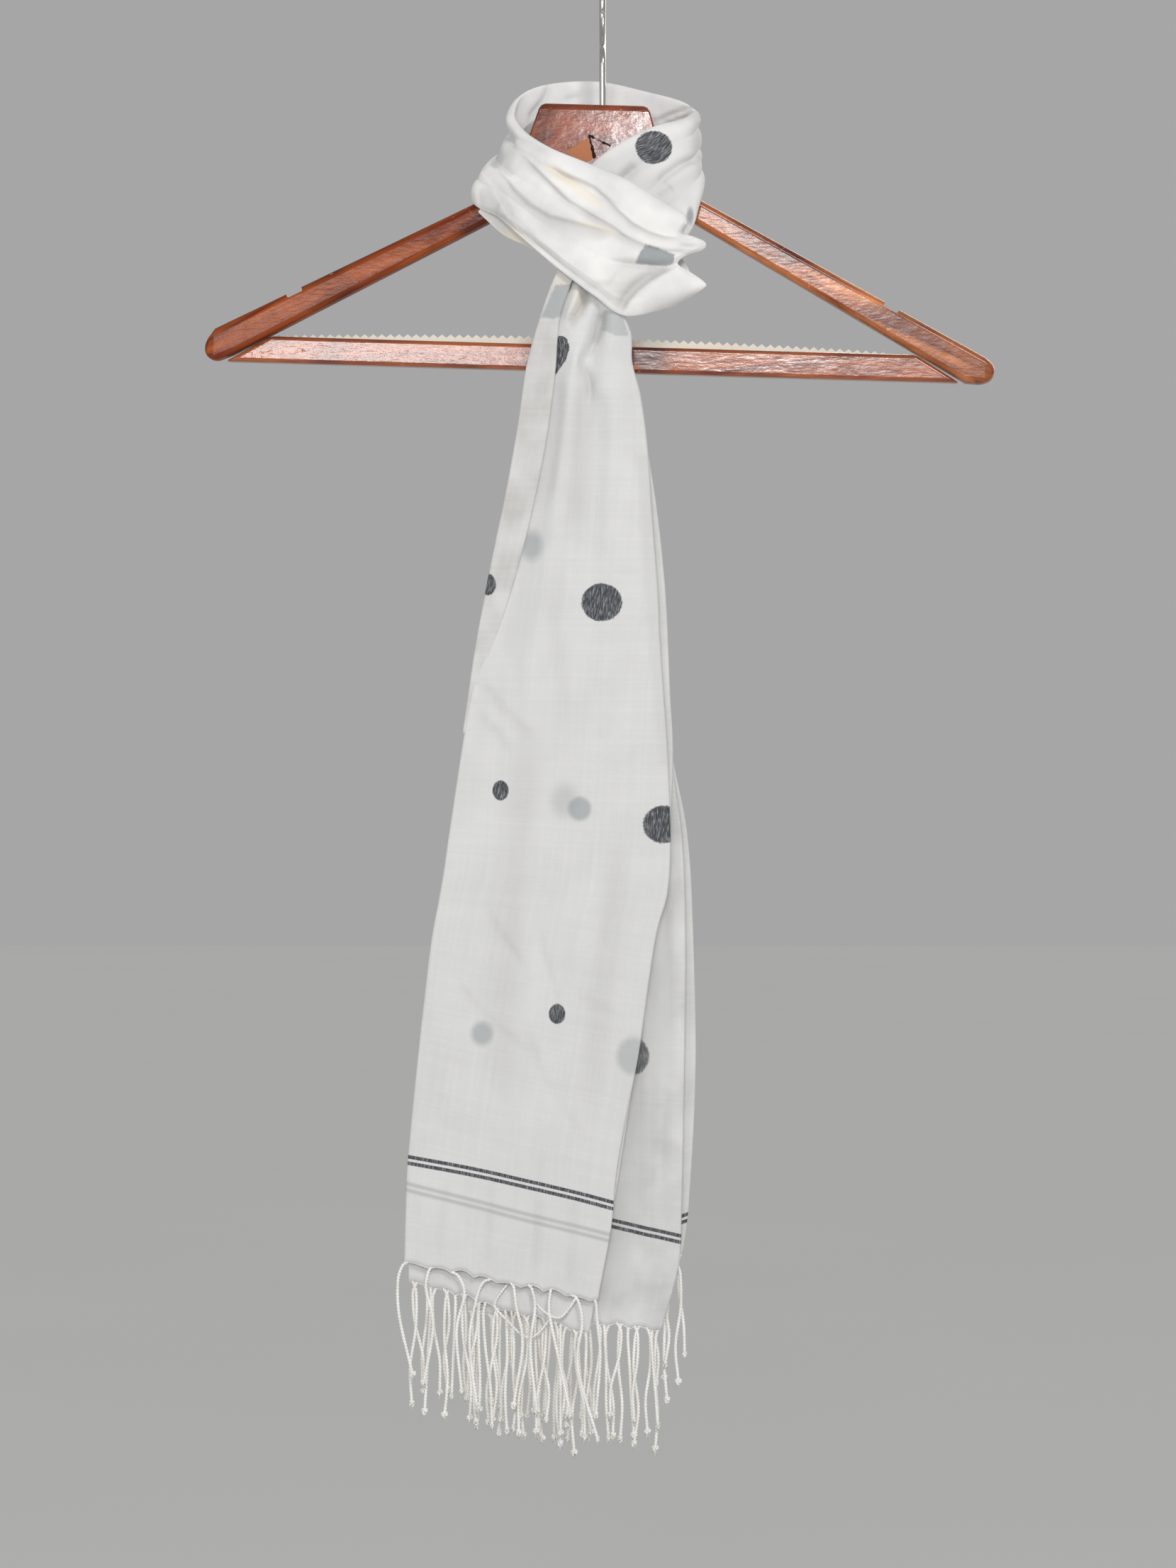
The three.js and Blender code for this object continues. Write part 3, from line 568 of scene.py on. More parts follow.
CREASES = table(
    ["station", "first", "second", "third", "bulk"],
    [
        [0, 0.22, 0.43, 0.53, 13],
        [1, 0.27, 0.4, 0.57, 12],
        [2, 0.24, 0.39, 0.68, 10],
        [3, 0.2, 0.4, 0.72, 7],
        [5, 0.22, 0.5, 0.74, 7],
        [7, 0.3, 0.55, 0.78, 11],
        [10, 0.24, 0.5, 0.78, 10],
        [13, 0.2, 0.46, 0.72, 9],
        [17, 0.26, 0.48, 0.7, 9],
        [19, 0.3, 0.52, 0.72, 8],
    ],
)

# How far each rib of the folded end reaches to the right, past the first section
FOLDED_END = table(
    ["across", "reach"],
    [
        [0, 0], [0.1, 1.5], [0.2, 0], [0.25, 8], [0.3, 13], [0.38, 12.5], [0.44, 4], [0.5, 0],
        [0.55, 0.5], [0.62, 7], [0.72, 15], [0.77, 16.5], [0.87, 10], [1, 0],
    ],
)


WAIST = 6.5  # how far the left side draws in


def wrap_edge(place, edge):
    """Points along the neck edge ("top") or the lower edge ("low") of the wrap."""
    return np.stack([read(WRAP, "station", edge + axis, place) for axis in "XYZ"], axis=-1)


def wrap_outward(place):
    """The direction away from the neck at each place along the wrap."""
    last = WRAP["station"][-1]
    before, after = np.maximum(place - 0.05, 0), np.minimum(place + 0.05, last)
    middle = [wrap_edge(at, "top") + wrap_edge(at, "low") for at in (before, after)]
    along = middle[1] - middle[0]
    up = wrap_edge(place, "top") - wrap_edge(place, "low")
    outward = np.cross(up, along)
    return outward / np.linalg.norm(outward, axis=-1, keepdims=True)


def wrap_points(place, share, side):
    """Points of the wrap's face (side 1) or back (side -1), for rows of places and shares."""
    creases = [read(CREASES, "station", crease, place) for crease in ("first", "second", "third")]
    edges = np.stack([np.zeros_like(place), *creases, np.ones_like(place)], axis=-1)[:, None, :]
    across = np.broadcast_to(share[None, :], (len(place), len(share)))
    rib = np.clip((across[..., None] >= edges).sum(axis=-1) - 1, 0, 3)
    edges = np.broadcast_to(edges, across.shape + (edges.shape[-1],))
    low, high = [np.take_along_axis(edges, rib[..., None] + k, -1)[..., 0] for k in (0, 1)]
    width = high - low
    t = (across - low) / width
    top, foot = wrap_edge(place, "top")[:, None, :], wrap_edge(place, "low")[:, None, :]
    spot = top + (foot - top) * across[..., None]
    # each rib is fuller towards its upper side and tucks under the one above it
    crown = read(CREASES, "station", "bulk", place)[:, None] * width * 4 * t * (1 - t) * (1.25 - 0.5 * t)
    edge_round = np.sqrt(np.maximum(1 - np.abs(2 * across - 1) ** 5, 0.02))
    half = read(WRAP, "station", "thick", place)[:, None] / 2 * edge_round
    # the left side draws in between the neck edge and the shoulder
    at_left = smoothstep(place, 4.8, 6.4) * (1 - smoothstep(place, 8.2, 9.6))
    drawn_in = smoothstep(across, 0.02, 0.3) * (1 - smoothstep(across, 0.42, 0.8))
    spot[..., 0] += WAIST * at_left[:, None] * drawn_in
    near_end = 1 - smoothstep(place, 0, 1)[:, None]
    spot[..., 0] += near_end * read(FOLDED_END, "across", "reach", across)
    fading = np.minimum(1, 0.3 + place / 0.25)[:, None]
    offset = half * fading + crown * 0.6 if side > 0 else crown * 0.3 - half * fading
    return spot, offset


print("the wrap has", len(WRAP["station"]), "sections")

# %% [markdown]
# ## Single folds
# A fold in soft cloth shows in two ways. A crease is a narrow valley, and a lap is a place where
# one side stands out over the other. Each is a broken line as seen in the photograph, with how
# deep and how wide it is. On a lap the cloth to the left of the line's direction stands out.
# A negative depth turns a crease into a ridge. The lines are moved to the cloth's own depth.
# Less light reaches a valley than a crest, so the folds also say how deep each point lies, and that depth
# darkens the cloth as painted shade.

# %% Folds pressed into the cloth
SHADE_BY_DEPTH = 0.22  # how much darker a valley is for each millimetre of its depth
LAP_EDGE, LAP_LIP = 1.4, 0.8  # how softly a lap's edge turns over, and how wide its own shade is
BAND_DEPTH, SHOULDER_DEPTH, INNER_DEPTH = -27.0, -17.0, 20.0  # y where each part of the wrap lies
FOLD_COLUMNS = ["kind", "deep", "wide", "line"]
BAND_FOLDS = [
    # the two long laps that sweep down across the front to the folded end
    ("lap", 2.9, 4.6, [
        (-46, -101.6), (-39, -109.7), (-29, -120.5), (-18.7, -131.4), (-6.9, -138.5), (4.9, -145),
        (13.8, -151.5), (24.1, -156.3), (35.9, -158.7), (47, -158),
    ]),
    ("lap", 2.9, 4.2, [
        (-33.4, -109.7), (-21.6, -115.6), (-11.3, -120), (-3.9, -123.7), (2.7, -129.9), (9.4, -137.3),
        (16.7, -143.9), (25.6, -148.4), (34.5, -151.2), (46.3, -151.8),
    ]),
    # the creases between them, along which warm bounce light is painted
    ("crease", 1.2, 1.8, [
        (-30.5, -110.4), (-23.1, -115.6), (-15.7, -121.5), (-6.9, -128.2), (0.5, -134.4),
    ]),
    ("crease", 1, 2.2, [(-29.7, -121.5), (-23.1, -128.2), (-12.8, -135.5), (-1, -142.6)]),
    # the broad ridge below them, the wide hollow under it and the soft swell above it
    ("lap", 2.2, 8, [
        (-55.6, -113.4), (-48.2, -124), (-39.3, -133.3), (-29, -139.7), (-14.2, -143.7), (-1, -147.3),
        (9.4, -149.8),
    ]),
    ("crease", 1.2, 8, [(-38.6, -142.2), (-27.5, -145.1), (-11.3, -148.1), (4.9, -151)]),
    ("crease", -1.6, 7, [(-46, -117.1), (-34.9, -128.2), (-21.6, -135.5), (-8.3, -142.2)]),
    ("crease", -1.3, 6, [(-18.7, -117.1), (-1, -124.5), (18.2, -134.1), (34.5, -141.4)]),
    # the left shoulder, where the layers step outwards
    ("lap", 1.8, 4, [(-49.7, -117.8), (-54.1, -112.2), (-62.9, -107.5)]),
    ("crease", 1.2, 2, [(-53.3, -88.3), (-47.4, -94.5), (-37.8, -99.4), (-29, -103.8)]),
    # the flap at the lower left, in the shade of the main surface beside it
    ("lap", 2.6, 4.2, [
        (-35.6, -157.7), (-44.5, -147.3), (-50.8, -140.3), (-54.4, -132.3), (-58.2, -124),
        (-62.6, -116.6),
    ]),
    ("crease", 1.3, 7, [(-70.3, -129.6), (-64.4, -130.4), (-57, -135.5)]),
    # the valley that parts the corner flap from the rest of the folded end
    ("crease", 1.9, 2.2, [(1.3, -165.5), (10.8, -165.8), (21.2, -166.4), (32.2, -167.7)]),
    ("lap", 3.8, 6, [
        (40.4, -167.4), (32.2, -171.2), (24.9, -175.7), (18.5, -181), (13.5, -187.2), (10.6, -194.6),
    ]),
    ("crease", 2.2, 3.4, [(31.5, -170.2), (24.1, -174.3), (17.5, -179.8), (12.3, -186.3), (9.7, -191.6)]),
    ("crease", 1.3, 9, [(4.9, -172.4), (12.3, -177.6), (10.8, -185.7)]),
    ("crease", -1.6, 8, [(25.6, -185.7), (37.4, -182), (50.7, -177.6)]),
    ("crease", -2.2, 9, [(-8.3, -154.7), (-1, -168), (-1, -179.8)]),
    ("crease", 1.6, 1.8, [(42.1, -150.3), (45.5, -148.1), (47.7, -143.7)]),
    ("crease", 1.2, 1.5, [(43.6, -154.7), (46.6, -156.5), (51, -155.9)]),
    # the turned lower edge, which shows as a double line
    ("crease", 2.8, 1.3, [
        (-70.3, -132.6), (-62.9, -136.3), (-55.6, -140.3), (-46, -148.1), (-33.4, -157.1), (-21.6, -167),
        (-8.3, -177.6), (4.2, -186), (12.3, -190.4),
    ]),
]
SHOULDER_FOLDS = [
    # creases of the stretch that comes round the right shoulder
    ("crease", 2.4, 2.2, [(52.4, -106.2), (42.9, -111.1), (35.2, -116.5), (29.9, -122.6)]),
    ("crease", -1.1, 3.5, [(52.1, -111.1), (42.9, -116.9), (35.2, -123.1)]),
    ("crease", 1.1, 2.6, [(30.6, -130.7), (34.9, -127.2), (39.5, -123.7)]),
    ("crease", 1.4, 2.5, [(9.5, -120), (14.1, -116), (18.7, -111.1)]),
    ("crease", -1, 4, [(5.4, -117.5), (12, -111.4), (15.6, -106.2)]),
    ("crease", 0.9, 3.0, [(12, -120), (22, -112), (30, -106)]),
    ("crease", 1.2, 3.0, [(53.4, -81.4), (51, -97.3), (52.6, -113.3)]),
    ("lap", 1.6, 3.0, [(30, -84), (38, -84), (46, -82), (54, -79)]),
]
INNER_FOLDS = [
    # creases inside the collar, seen over the head
    ("crease", 2, 1.9, [(-30.3, -64.8), (-31.6, -70.5), (-34.2, -75.1), (-38.6, -80.2), (-42.6, -85.8)]),
    ("crease", 1.2, 2.2, [(-21.5, -74.3), (-16.9, -72.5), (-12.3, -71)]),
    ("crease", 2, 1.7, [(30.6, -86.3), (38.3, -83.2), (47.5, -80.5), (52.4, -78.6)]),
    ("crease", 2, 1.7, [(34, -90), (41.4, -86.1), (49.8, -85.5)]),
]


def fold_relief(x, z, folds, depth):
    """How far single folds move the surface towards the viewer at each point, and how deep in a
    fold the point lies."""
    relief, hollow = np.zeros(np.shape(x)), np.zeros(np.shape(x))
    for row in folds:
        fold = dict(zip(FOLD_COLUMNS, row))
        line = [place_seen(line_x, line_z, depth) for line_x, line_z in fold["line"]]
        gap, share, left = distance_to_line(x, z, line)
        ends = smoothstep(share, 0, 0.18) * smoothstep(1 - share, 0, 0.18)
        strength, wide = fold["deep"] * (0.25 + 0.75 * ends), fold["wide"]
        if fold["kind"] == "crease":
            relief -= strength * np.exp(-((gap / wide) ** 2))
            hollow += SHADE_BY_DEPTH * strength * np.exp(-((gap / (1.2 * wide)) ** 2))
        else:
            beside = np.clip(1.25 - gap / (2.6 * wide), 0, 1)
            relief += 0.6 * strength * left * np.tanh(gap / LAP_EDGE) * np.exp(-gap / wide) * beside
            below = np.exp(-((gap / (0.75 * wide)) ** 2))
            hollow += SHADE_BY_DEPTH * strength * np.where(left < 0, below, np.exp(-((gap / LAP_LIP) ** 2)))
    return relief, np.clip(hollow, -1, 1)


NAPE_SHADE = 0.2  # what SHADE_BY_DEPTH is for the other folds, it is for those behind the neck


def nape_folds(place, share):
    """Folds behind the neck: long, slightly slanting, closer together towards the shoulders."""
    slant = share * 4.6 + 0.11 * (place - 10) + 0.12 * np.sin(place * 1.3)
    valleys = 1 - np.abs(np.sin(math.pi * slant)) ** 0.6
    return -2.0 * valleys * np.sin(math.pi * share) ** 0.5 * (0.7 + 0.3 * np.sin(place * 2.3 + share * 3))


def wrap_ring(places, face_columns):
    """The wrap as rings of points, down the face and back up behind, and their hollows."""
    rounding = np.array([0.002, 0.012, 0.035, 0.07])
    inner = np.linspace(0.1, 0.9, face_columns)
    shares = np.concatenate([rounding, inner, 1 - rounding[::-1]])
    outward = wrap_outward(places)[:, None, :]
    sides, hollows = [], []
    for side in (1, -1):
        spot, offset = wrap_points(places, shares, side)
        x, z = spot[..., 0], spot[..., 2]
        if side > 0:
            near_band = 1 - smoothstep(places, 6.4, 7.6)[:, None]
            near_side = smoothstep(places, 12.6, 13.4)[:, None]
            band_relief, band_hollow = fold_relief(x, z, BAND_FOLDS, BAND_DEPTH)
            side_relief, side_hollow = fold_relief(x, z, SHOULDER_FOLDS, SHOULDER_DEPTH)
            behind = smoothstep(places, 6.5, 8)[:, None] * (1 - smoothstep(places, 12, 13.5)[:, None])
            nape = nape_folds(places[:, None], shares[None, :])
            offset = offset + near_band * band_relief + near_side * side_relief + behind * nape
            hollow = near_band * band_hollow + near_side * side_hollow - behind * nape * NAPE_SHADE
        else:
            offset = offset + 0.5 * np.sin(shares * 11 + places[:, None] * 0.9)
            inside = smoothstep(places, 6.8, 7.6)[:, None] * (1 - smoothstep(places, 13.2, 14)[:, None])
            inner_relief, inner_hollow = fold_relief(x, z, INNER_FOLDS, INNER_DEPTH)
            offset -= inside * inner_relief
            hollow = inside * inner_hollow
        sides.append(spot + outward * offset[..., None])
        hollows.append(hollow)
    points = np.concatenate([sides[0], sides[1][:, ::-1]], axis=1)
    return points, np.concatenate([hollows[0], hollows[1][:, ::-1]], axis=1)


# the cloth is one white voile: the wrap gets the lightest base, and the darker bases of the loop and the
# hanging layers are painted shade
WRAP_LIGHT = "#eeedeb"
neck_marks = (
    seen_marks(-17.5, (28.6, -100.9, 21.1, 19.1, 0.05, 1.0))
    + seen_marks(21.0, (-14.0, -104.0, 22.0, 22.0, 0.05, 1.0))
)
neck_shadows = (
    seen_marks(-10.0, (-60.0, -104.5, 9.5, 14.0, 0.35, 0.55))
    + seen_marks(-30.0, (49.5, -138.0, 5.0, 12.0, 0.3, 0.9))
    + seen_patch(
        -30, 0.7, 0.95, (24.1, -155.2), (27.8, -155.8), (32.2, -157.4), (40.4, -160.3), (39.6, -165.8),
        (35.2, -166.8), (25.6, -166.2), (18.5, -165.5), (20.9, -159.9),
    )
)
# painted warm bounce light in a crease and a hollow of the band and along its turned lower edge
neck_bounce_warmth = (
    seen_patch(
        -28, 1.6, 0.42, (-30.8, -109), (-22.8, -113.4), (-11.3, -122.3), (1.3, -133.3), (-1, -136.3),
        (-14.2, -127.4), (-26, -118.6), (-33.4, -111.9),
    )
    + seen_patch(
        -28, 1.6, 0.36, (-14.2, -142.2), (-1, -144.4), (8.6, -148.8), (4.9, -150.3), (-6.9, -146.6),
        (-15.7, -144.4),
    )
    + seen_patch(
        -28, 1.8, 0.3, (-71.8, -133.3), (-61.5, -137), (-49.7, -145.9), (-42.3, -151.8), (-43.8, -154),
        (-54.1, -146.6), (-64.4, -140.3),
    )
)
# painted shade: the right stretch lies in the shade of the band, and so do the flap at the lower left and the
# hollow under the corner flap
neck_painted_shade = (
    seen_patch(
        -22, 5, 0.42, (-8.3, -109), (16.7, -100.1), (55.1, -88.3), (55.9, -135.5), (49.2, -137),
        (31.5, -129.6), (16.7, -120.8),
    )
    + seen_patch(
        -26, 3.5, 0.4, (-71.8, -125.2), (-61.5, -118.6), (-53.3, -134.1), (-46, -148.1), (-54.1, -145.9),
        (-64.4, -137), (-73.3, -133.3),
    )
    + seen_patch(
        -28, 4, 0.3, (0.5, -168), (16.7, -168), (34.5, -169.5), (19.7, -181.3), (12.3, -193.1),
        (2, -185.7),
    )
)
neck_voile = voile("cotton_voile_neck", WRAP_LIGHT, neck_marks, neck_shadows, bounce_warmth=neck_bounce_warmth, painted_shade=neck_painted_shade)

WRAP_END = 18.6  # in sections: the last of them is only there to lead the curve
WRAP_ROWS, WRAP_COLUMNS = 440, 90
ring, ring_hollow = wrap_ring(np.linspace(0, WRAP_END, WRAP_ROWS), WRAP_COLUMNS)
wrap = grid_piece("wrap", ring, closed=True, caps=True, hollow=ring_hollow)
face_outwards(wrap)
hand_over(wrap, "cotton_voile", neck_voile, "band_front", "collar_back", "collar_right")

# %% [markdown]
# ## The back half of the loop
# The doubled scarf makes a loop, and the ends are pulled through it. Its back half passes behind
# the ends and comes up to the left shoulder. Only its lower edge shows from the front, but it is
# plain from behind, so it gets long soft folds of its own there.

# %% The back half
LOOP_BACK = table(
    ["station", "topX", "topY", "topZ", "lowX", "lowY", "lowZ"],
    [
        [0, 44, -14.5, -163, 38, -14.5, -187],
        [1, 34, -11, -146, 26, -11, -192],
        [2, 12, -11, -124, 4, -11, -189],
        [3, -8, -11, -114, -14.7, -11, -177.4],
        [4, -27, -10.8, -110, -38.6, -10.8, -159.4],
        [5, -42, -9.4, -110, -55.4, -9.6, -150.8],
        [6, -50, -7.2, -116, -66, -7.4, -141],
        [6.6, -54, -6.4, -116, -70.5, -6.6, -136.5],
    ],
)


def loop_ring(rows, columns):
    """A flattened tube of cloth with three soft folds along its back."""
    place = np.linspace(0, LOOP_BACK["station"][-1], rows)
    across = np.linspace(0, 1, columns)
    top, low = [
        np.stack([read(LOOP_BACK, "station", edge + axis, place) for axis in "XYZ"], axis=-1)[:, None, :]
        for edge in ("top", "low")
    ]
    sides = []
    for side in (-1, 1):
        spot = top + (low - top) * across[None, :, None]
        half = 1.2 * np.sqrt(np.maximum(1 - np.abs(2 * across - 1) ** 4, 0.0))
        reach = (1 - smoothstep(place, 0, 1))[:, None] * 8 * np.sin(math.pi * across)
        folds = 0.5 * np.sin(across * 14 + place[:, None] * 0.5) * np.sin(math.pi * across)
        spot[..., 0] += reach
        spot[..., 1] += side * half + (folds if side > 0 else 0)
        sides.append(spot)
    return np.concatenate([sides[0], sides[1][:, ::-1]], axis=1)


# painted warm bounce light along the loop's lower edge; the loop's base, darker than the wrap's, is painted
# shade
loop_bounce_warmth = seen_marks(-11.0, (-42.0, -150.0, 34.0, 9.0, 0.8, 0.5))
loop_voile = voile("cotton_voile_loop", "#e6e5e2", bounce_warmth=loop_bounce_warmth)
loop_back = grid_piece("loop_back_half", loop_ring(90, 22), closed=True, caps=True)
face_outwards(loop_back)
add_modifier(loop_back, "SUBSURF", levels=1, render_levels=1)
hand_over(loop_back, "cotton_voile", loop_voile, "loop_back")

# %% [markdown]
# ## The hanging ends
# The two ends hang free, each folded lengthwise, so each layer's sides are folded edges and not
# cut ones. A panel is one grid whose sides turn round a small fold and run back a little way
# behind. The hem isn't straight: its warp ends are twisted together in bunches, which pull it up
# into scallops.

# %% Shape of the hanging layers
# the depth of each layer, and how far its middle stands off the next one further down
LEVELS = {"side": -24.6, "front": -21.4, "inner": -17.6, "back": -14.9, "far": -10.2}
AIR = {"side": 0, "front": -3.6, "inner": 0, "back": 3, "far": 0.6}
FOLD_RADIUS, CLOTH_THICK = 0.9, 0.45
SCALLOP_PITCH, SCALLOP_HIGH = 13.0, 2.6
SIDE_SINKS = 3.3  # the side fold sinks this far into the front layer and is lost there


def hang_wave(x, drop):
    """Shallow waves that move all the layers alike, so that they lie on each other."""
    free, flutes = smoothstep(drop, 230, 420), smoothstep(drop, 520, 720)
    return free * 1.6 * np.sin(x / 26 + drop / 120) + flutes * 1.1 * np.sin(x / 9.5 + drop / 75)


def stand(layer, v, drop):
    """How far a layer stands forward at a share v of its width, clear of the loop and the hem."""
    free, hem = smoothstep(drop, 240, 430), 1 - smoothstep(drop, 620, 730)
    return AIR[layer] * free * hem * 4 * np.clip(v, 0, 1) * (1 - np.clip(v, 0, 1))


def gather(x, drop):
    """Gathers of the front layer near the loop, which fade on the way down and under the fold."""
    clear = smoothstep(x - read(SIDE_FOLD, "drop", "right", drop), -1, 12)
    fade = smoothstep(drop, 168, 200) * (1 - smoothstep(drop, 200, 430))
    lobe = 0.5 + 0.5 * np.cos((x - 7 - (drop - 205) * 0.06) / (3.2 + (drop - 160) * 0.022))
    return fade * clear * 4.6 * lobe


COLUMNS = ["drop", "left", "right", "tilt"]
FRONT_PANEL = table(
    COLUMNS,
    [
        [160.3, -15, 38, 0], [176, -16.3, 22, 0], [184, -19.8, 14.5, 0], [195, -28.5, 12.2, 0],
        [207, -31.5, 16, 0], [222, -34.5, 16.4, 0], [240, -37.5, 21, 0], [272, -42.5, 25.2, 0],
        [308, -49.5, 27.6, 0], [350, -58.5, 30.8, 0], [378, -66.5, 32, 0], [405, -73, 33.8, 0],
        [443, -79.2, 36.4, 0.02], [490, -85.9, 37.8, 0.06], [514, -89, 36, 0.1],
        [531, -91.6, 30.6, 0.13], [555, -95.6, 26.2, 0.17], [597, -100.5, 19.8, 0.22],
        [632, -104, 12.6, 0.25], [663, -107.2, 7.4, 0.25], [692, -109.6, 4.8, 0.23], [737.5, -111, -2.8, 0.2],
    ],
)
SIDE_FOLD = table(
    COLUMNS,
    [
        [160.3, -24, -12, 0], [169, -24.7, -14.5, 0], [183, -30.3, -19.4, 0], [195, -34.3, -23.5, 0],
        [207, -38, -25.2, 0], [225, -42.6, -26.4, 0], [257, -47.4, -30.2, 0], [285, -52.2, -35.2, 0],
        [320, -59.4, -43, 0], [356, -66.5, -53, 0], [385, -71.8, -62.5, 0], [410, -75.5, -70, 0],
        [430, -78.4, -76.6, 0],
    ],
)
INNER_PANEL = table(
    COLUMNS,
    [
        [160.3, -20, 37, 0], [176, -22, 24, 0], [195, -30, 11, 0], [225, -38, 15.4, 0],
        [257, -44, 22.5, 0], [297, -51, 29.2, 0], [328, -57, 33, 0], [360, -63, 35.6, 0],
        [405, -71, 37.5, 0], [443, -76, 39.2, 0.02], [514, -86.6, 34.6, 0.1], [555, -93.6, 25, 0.17],
        [632, -103, 13.4, 0.28], [692, -108.4, 3.6, 0.3], [752.5, -108.8, -8, 0.3],
    ],
)
BACK_PANEL = table(
    COLUMNS,
    [
        [160.3, -18, 29, 0], [195, -26, 10.5, 0], [225, -34, 14.6, 0], [285, -47, 26, 0],
        [356, -60, 34.4, 0], [443, -67, 38.6, 0], [490, -69.4, 44.5, 0], [540, -71.5, 46.4, 0.04],
        [620, -73.5, 45.6, 0.08], [692, -75.5, 44.2, 0.1], [722, -76, 42.6, 0.1], [760.5, -76, 33, 0.1],
    ],
)
FAR_STRIP = table(
    COLUMNS,
    [
        [446, 20, 39.6, 0], [486, 26, 47.4, 0], [538, 30, 50.6, 0], [619, 31, 52.2, -0.1],
        [699, 30, 48.4, -0.5], [734, 29, 45, -1.4],
    ],
)


def hem_lift(rows, x):
    """Arches between bunches of twisted threads, as how far the hem is pulled up at x."""
    high = SCALLOP_HIGH * (0.75 + 0.35 * np.sin(x / 7.0))
    return high * np.abs(np.sin(math.pi * (x - rows["left"][-1]) / SCALLOP_PITCH)) ** 0.8


def panel_points(rows, layer, row_count, column_count, folds=(), scalloped=True, rear=7.0):
    """A hanging layer with a rounded fold at each side, and its hollows. Rear is how far the
    cloth runs back behind each fold."""
    turns = np.linspace(0, math.pi, 7)
    middle = np.linspace(0, 1, column_count)
    u = np.linspace(0, 1, row_count)[:, None]
    drop = rows["drop"][0] + u * (rows["drop"][-1] - rows["drop"][0])
    left, right = read(rows, "drop", "left", drop), read(rows, "drop", "right", drop)
    tilt = read(rows, "drop", "tilt", drop)
    width = right - left
    parts_x, parts_y = [], []
    back = np.minimum(rear, width * 0.4)
    r = FOLD_RADIUS
    for side in (-1, 1):
        edge = left if side < 0 else right
        flat = edge - side * (r + back)
        arc_x = [edge - side * (r - r * np.sin(a)) for a in turns]
        arc_y = [np.full_like(edge, r - r * math.cos(a)) for a in turns]
        behind = np.full_like(edge, 2 * r)
        parts_x.append(np.concatenate([*arc_x, edge - side * (r + back / 2), flat], axis=1)[:, ::side])
        parts_y.append(np.concatenate([*arc_y, behind, behind], axis=1)[:, ::side])
    flat_x = (left + r) + middle[None, 1:-1] * (width - 2 * r)
    x = np.concatenate([parts_x[0], flat_x, parts_x[1]], axis=1)
    y = np.concatenate([parts_y[0], np.zeros_like(flat_x), parts_y[1]], axis=1)
    v = (x - left) / width
    z = -drop - tilt * (x - (left + right) / 2)
    if scalloped:
        z = z + hem_lift(rows, x) * smoothstep(u, 0.93, 1.0)
    y = y + LEVELS[layer] + hang_wave(x, -z) + stand(layer, v, -z)
    # only the face has the folds, and not the hem that is turned behind it
    face = y < LEVELS[layer] + hang_wave(x, -z) + stand(layer, v, -z) + 0.2
    if layer == "front":
        y = y - gather(x, drop) * (0.4 + 0.6 * face)
    if layer == "side":
        y = y + SIDE_SINKS * smoothstep(drop, 300, 420)
    hollow = np.zeros(np.shape(x))
    if folds:
        relief, hollow = fold_relief(x, z, folds, LEVELS[layer])
        y = y - relief * (0.3 + 0.7 * face)
    return np.stack([x, y, z], axis=-1), hollow * face


def cloth_panel(name, shape, material, node):
    """Turns the points of a layer into a piece as thick as two folds of voile."""
    points, hollow = shape
    piece = grid_piece(name, points, hollow=hollow)
    add_modifier(piece, "SOLIDIFY", thickness=CLOTH_THICK * MM, offset=0.0)
    hand_over(piece, "cotton_voile", material, node)
    return piece


print("hanging layers:", ", ".join(LEVELS))

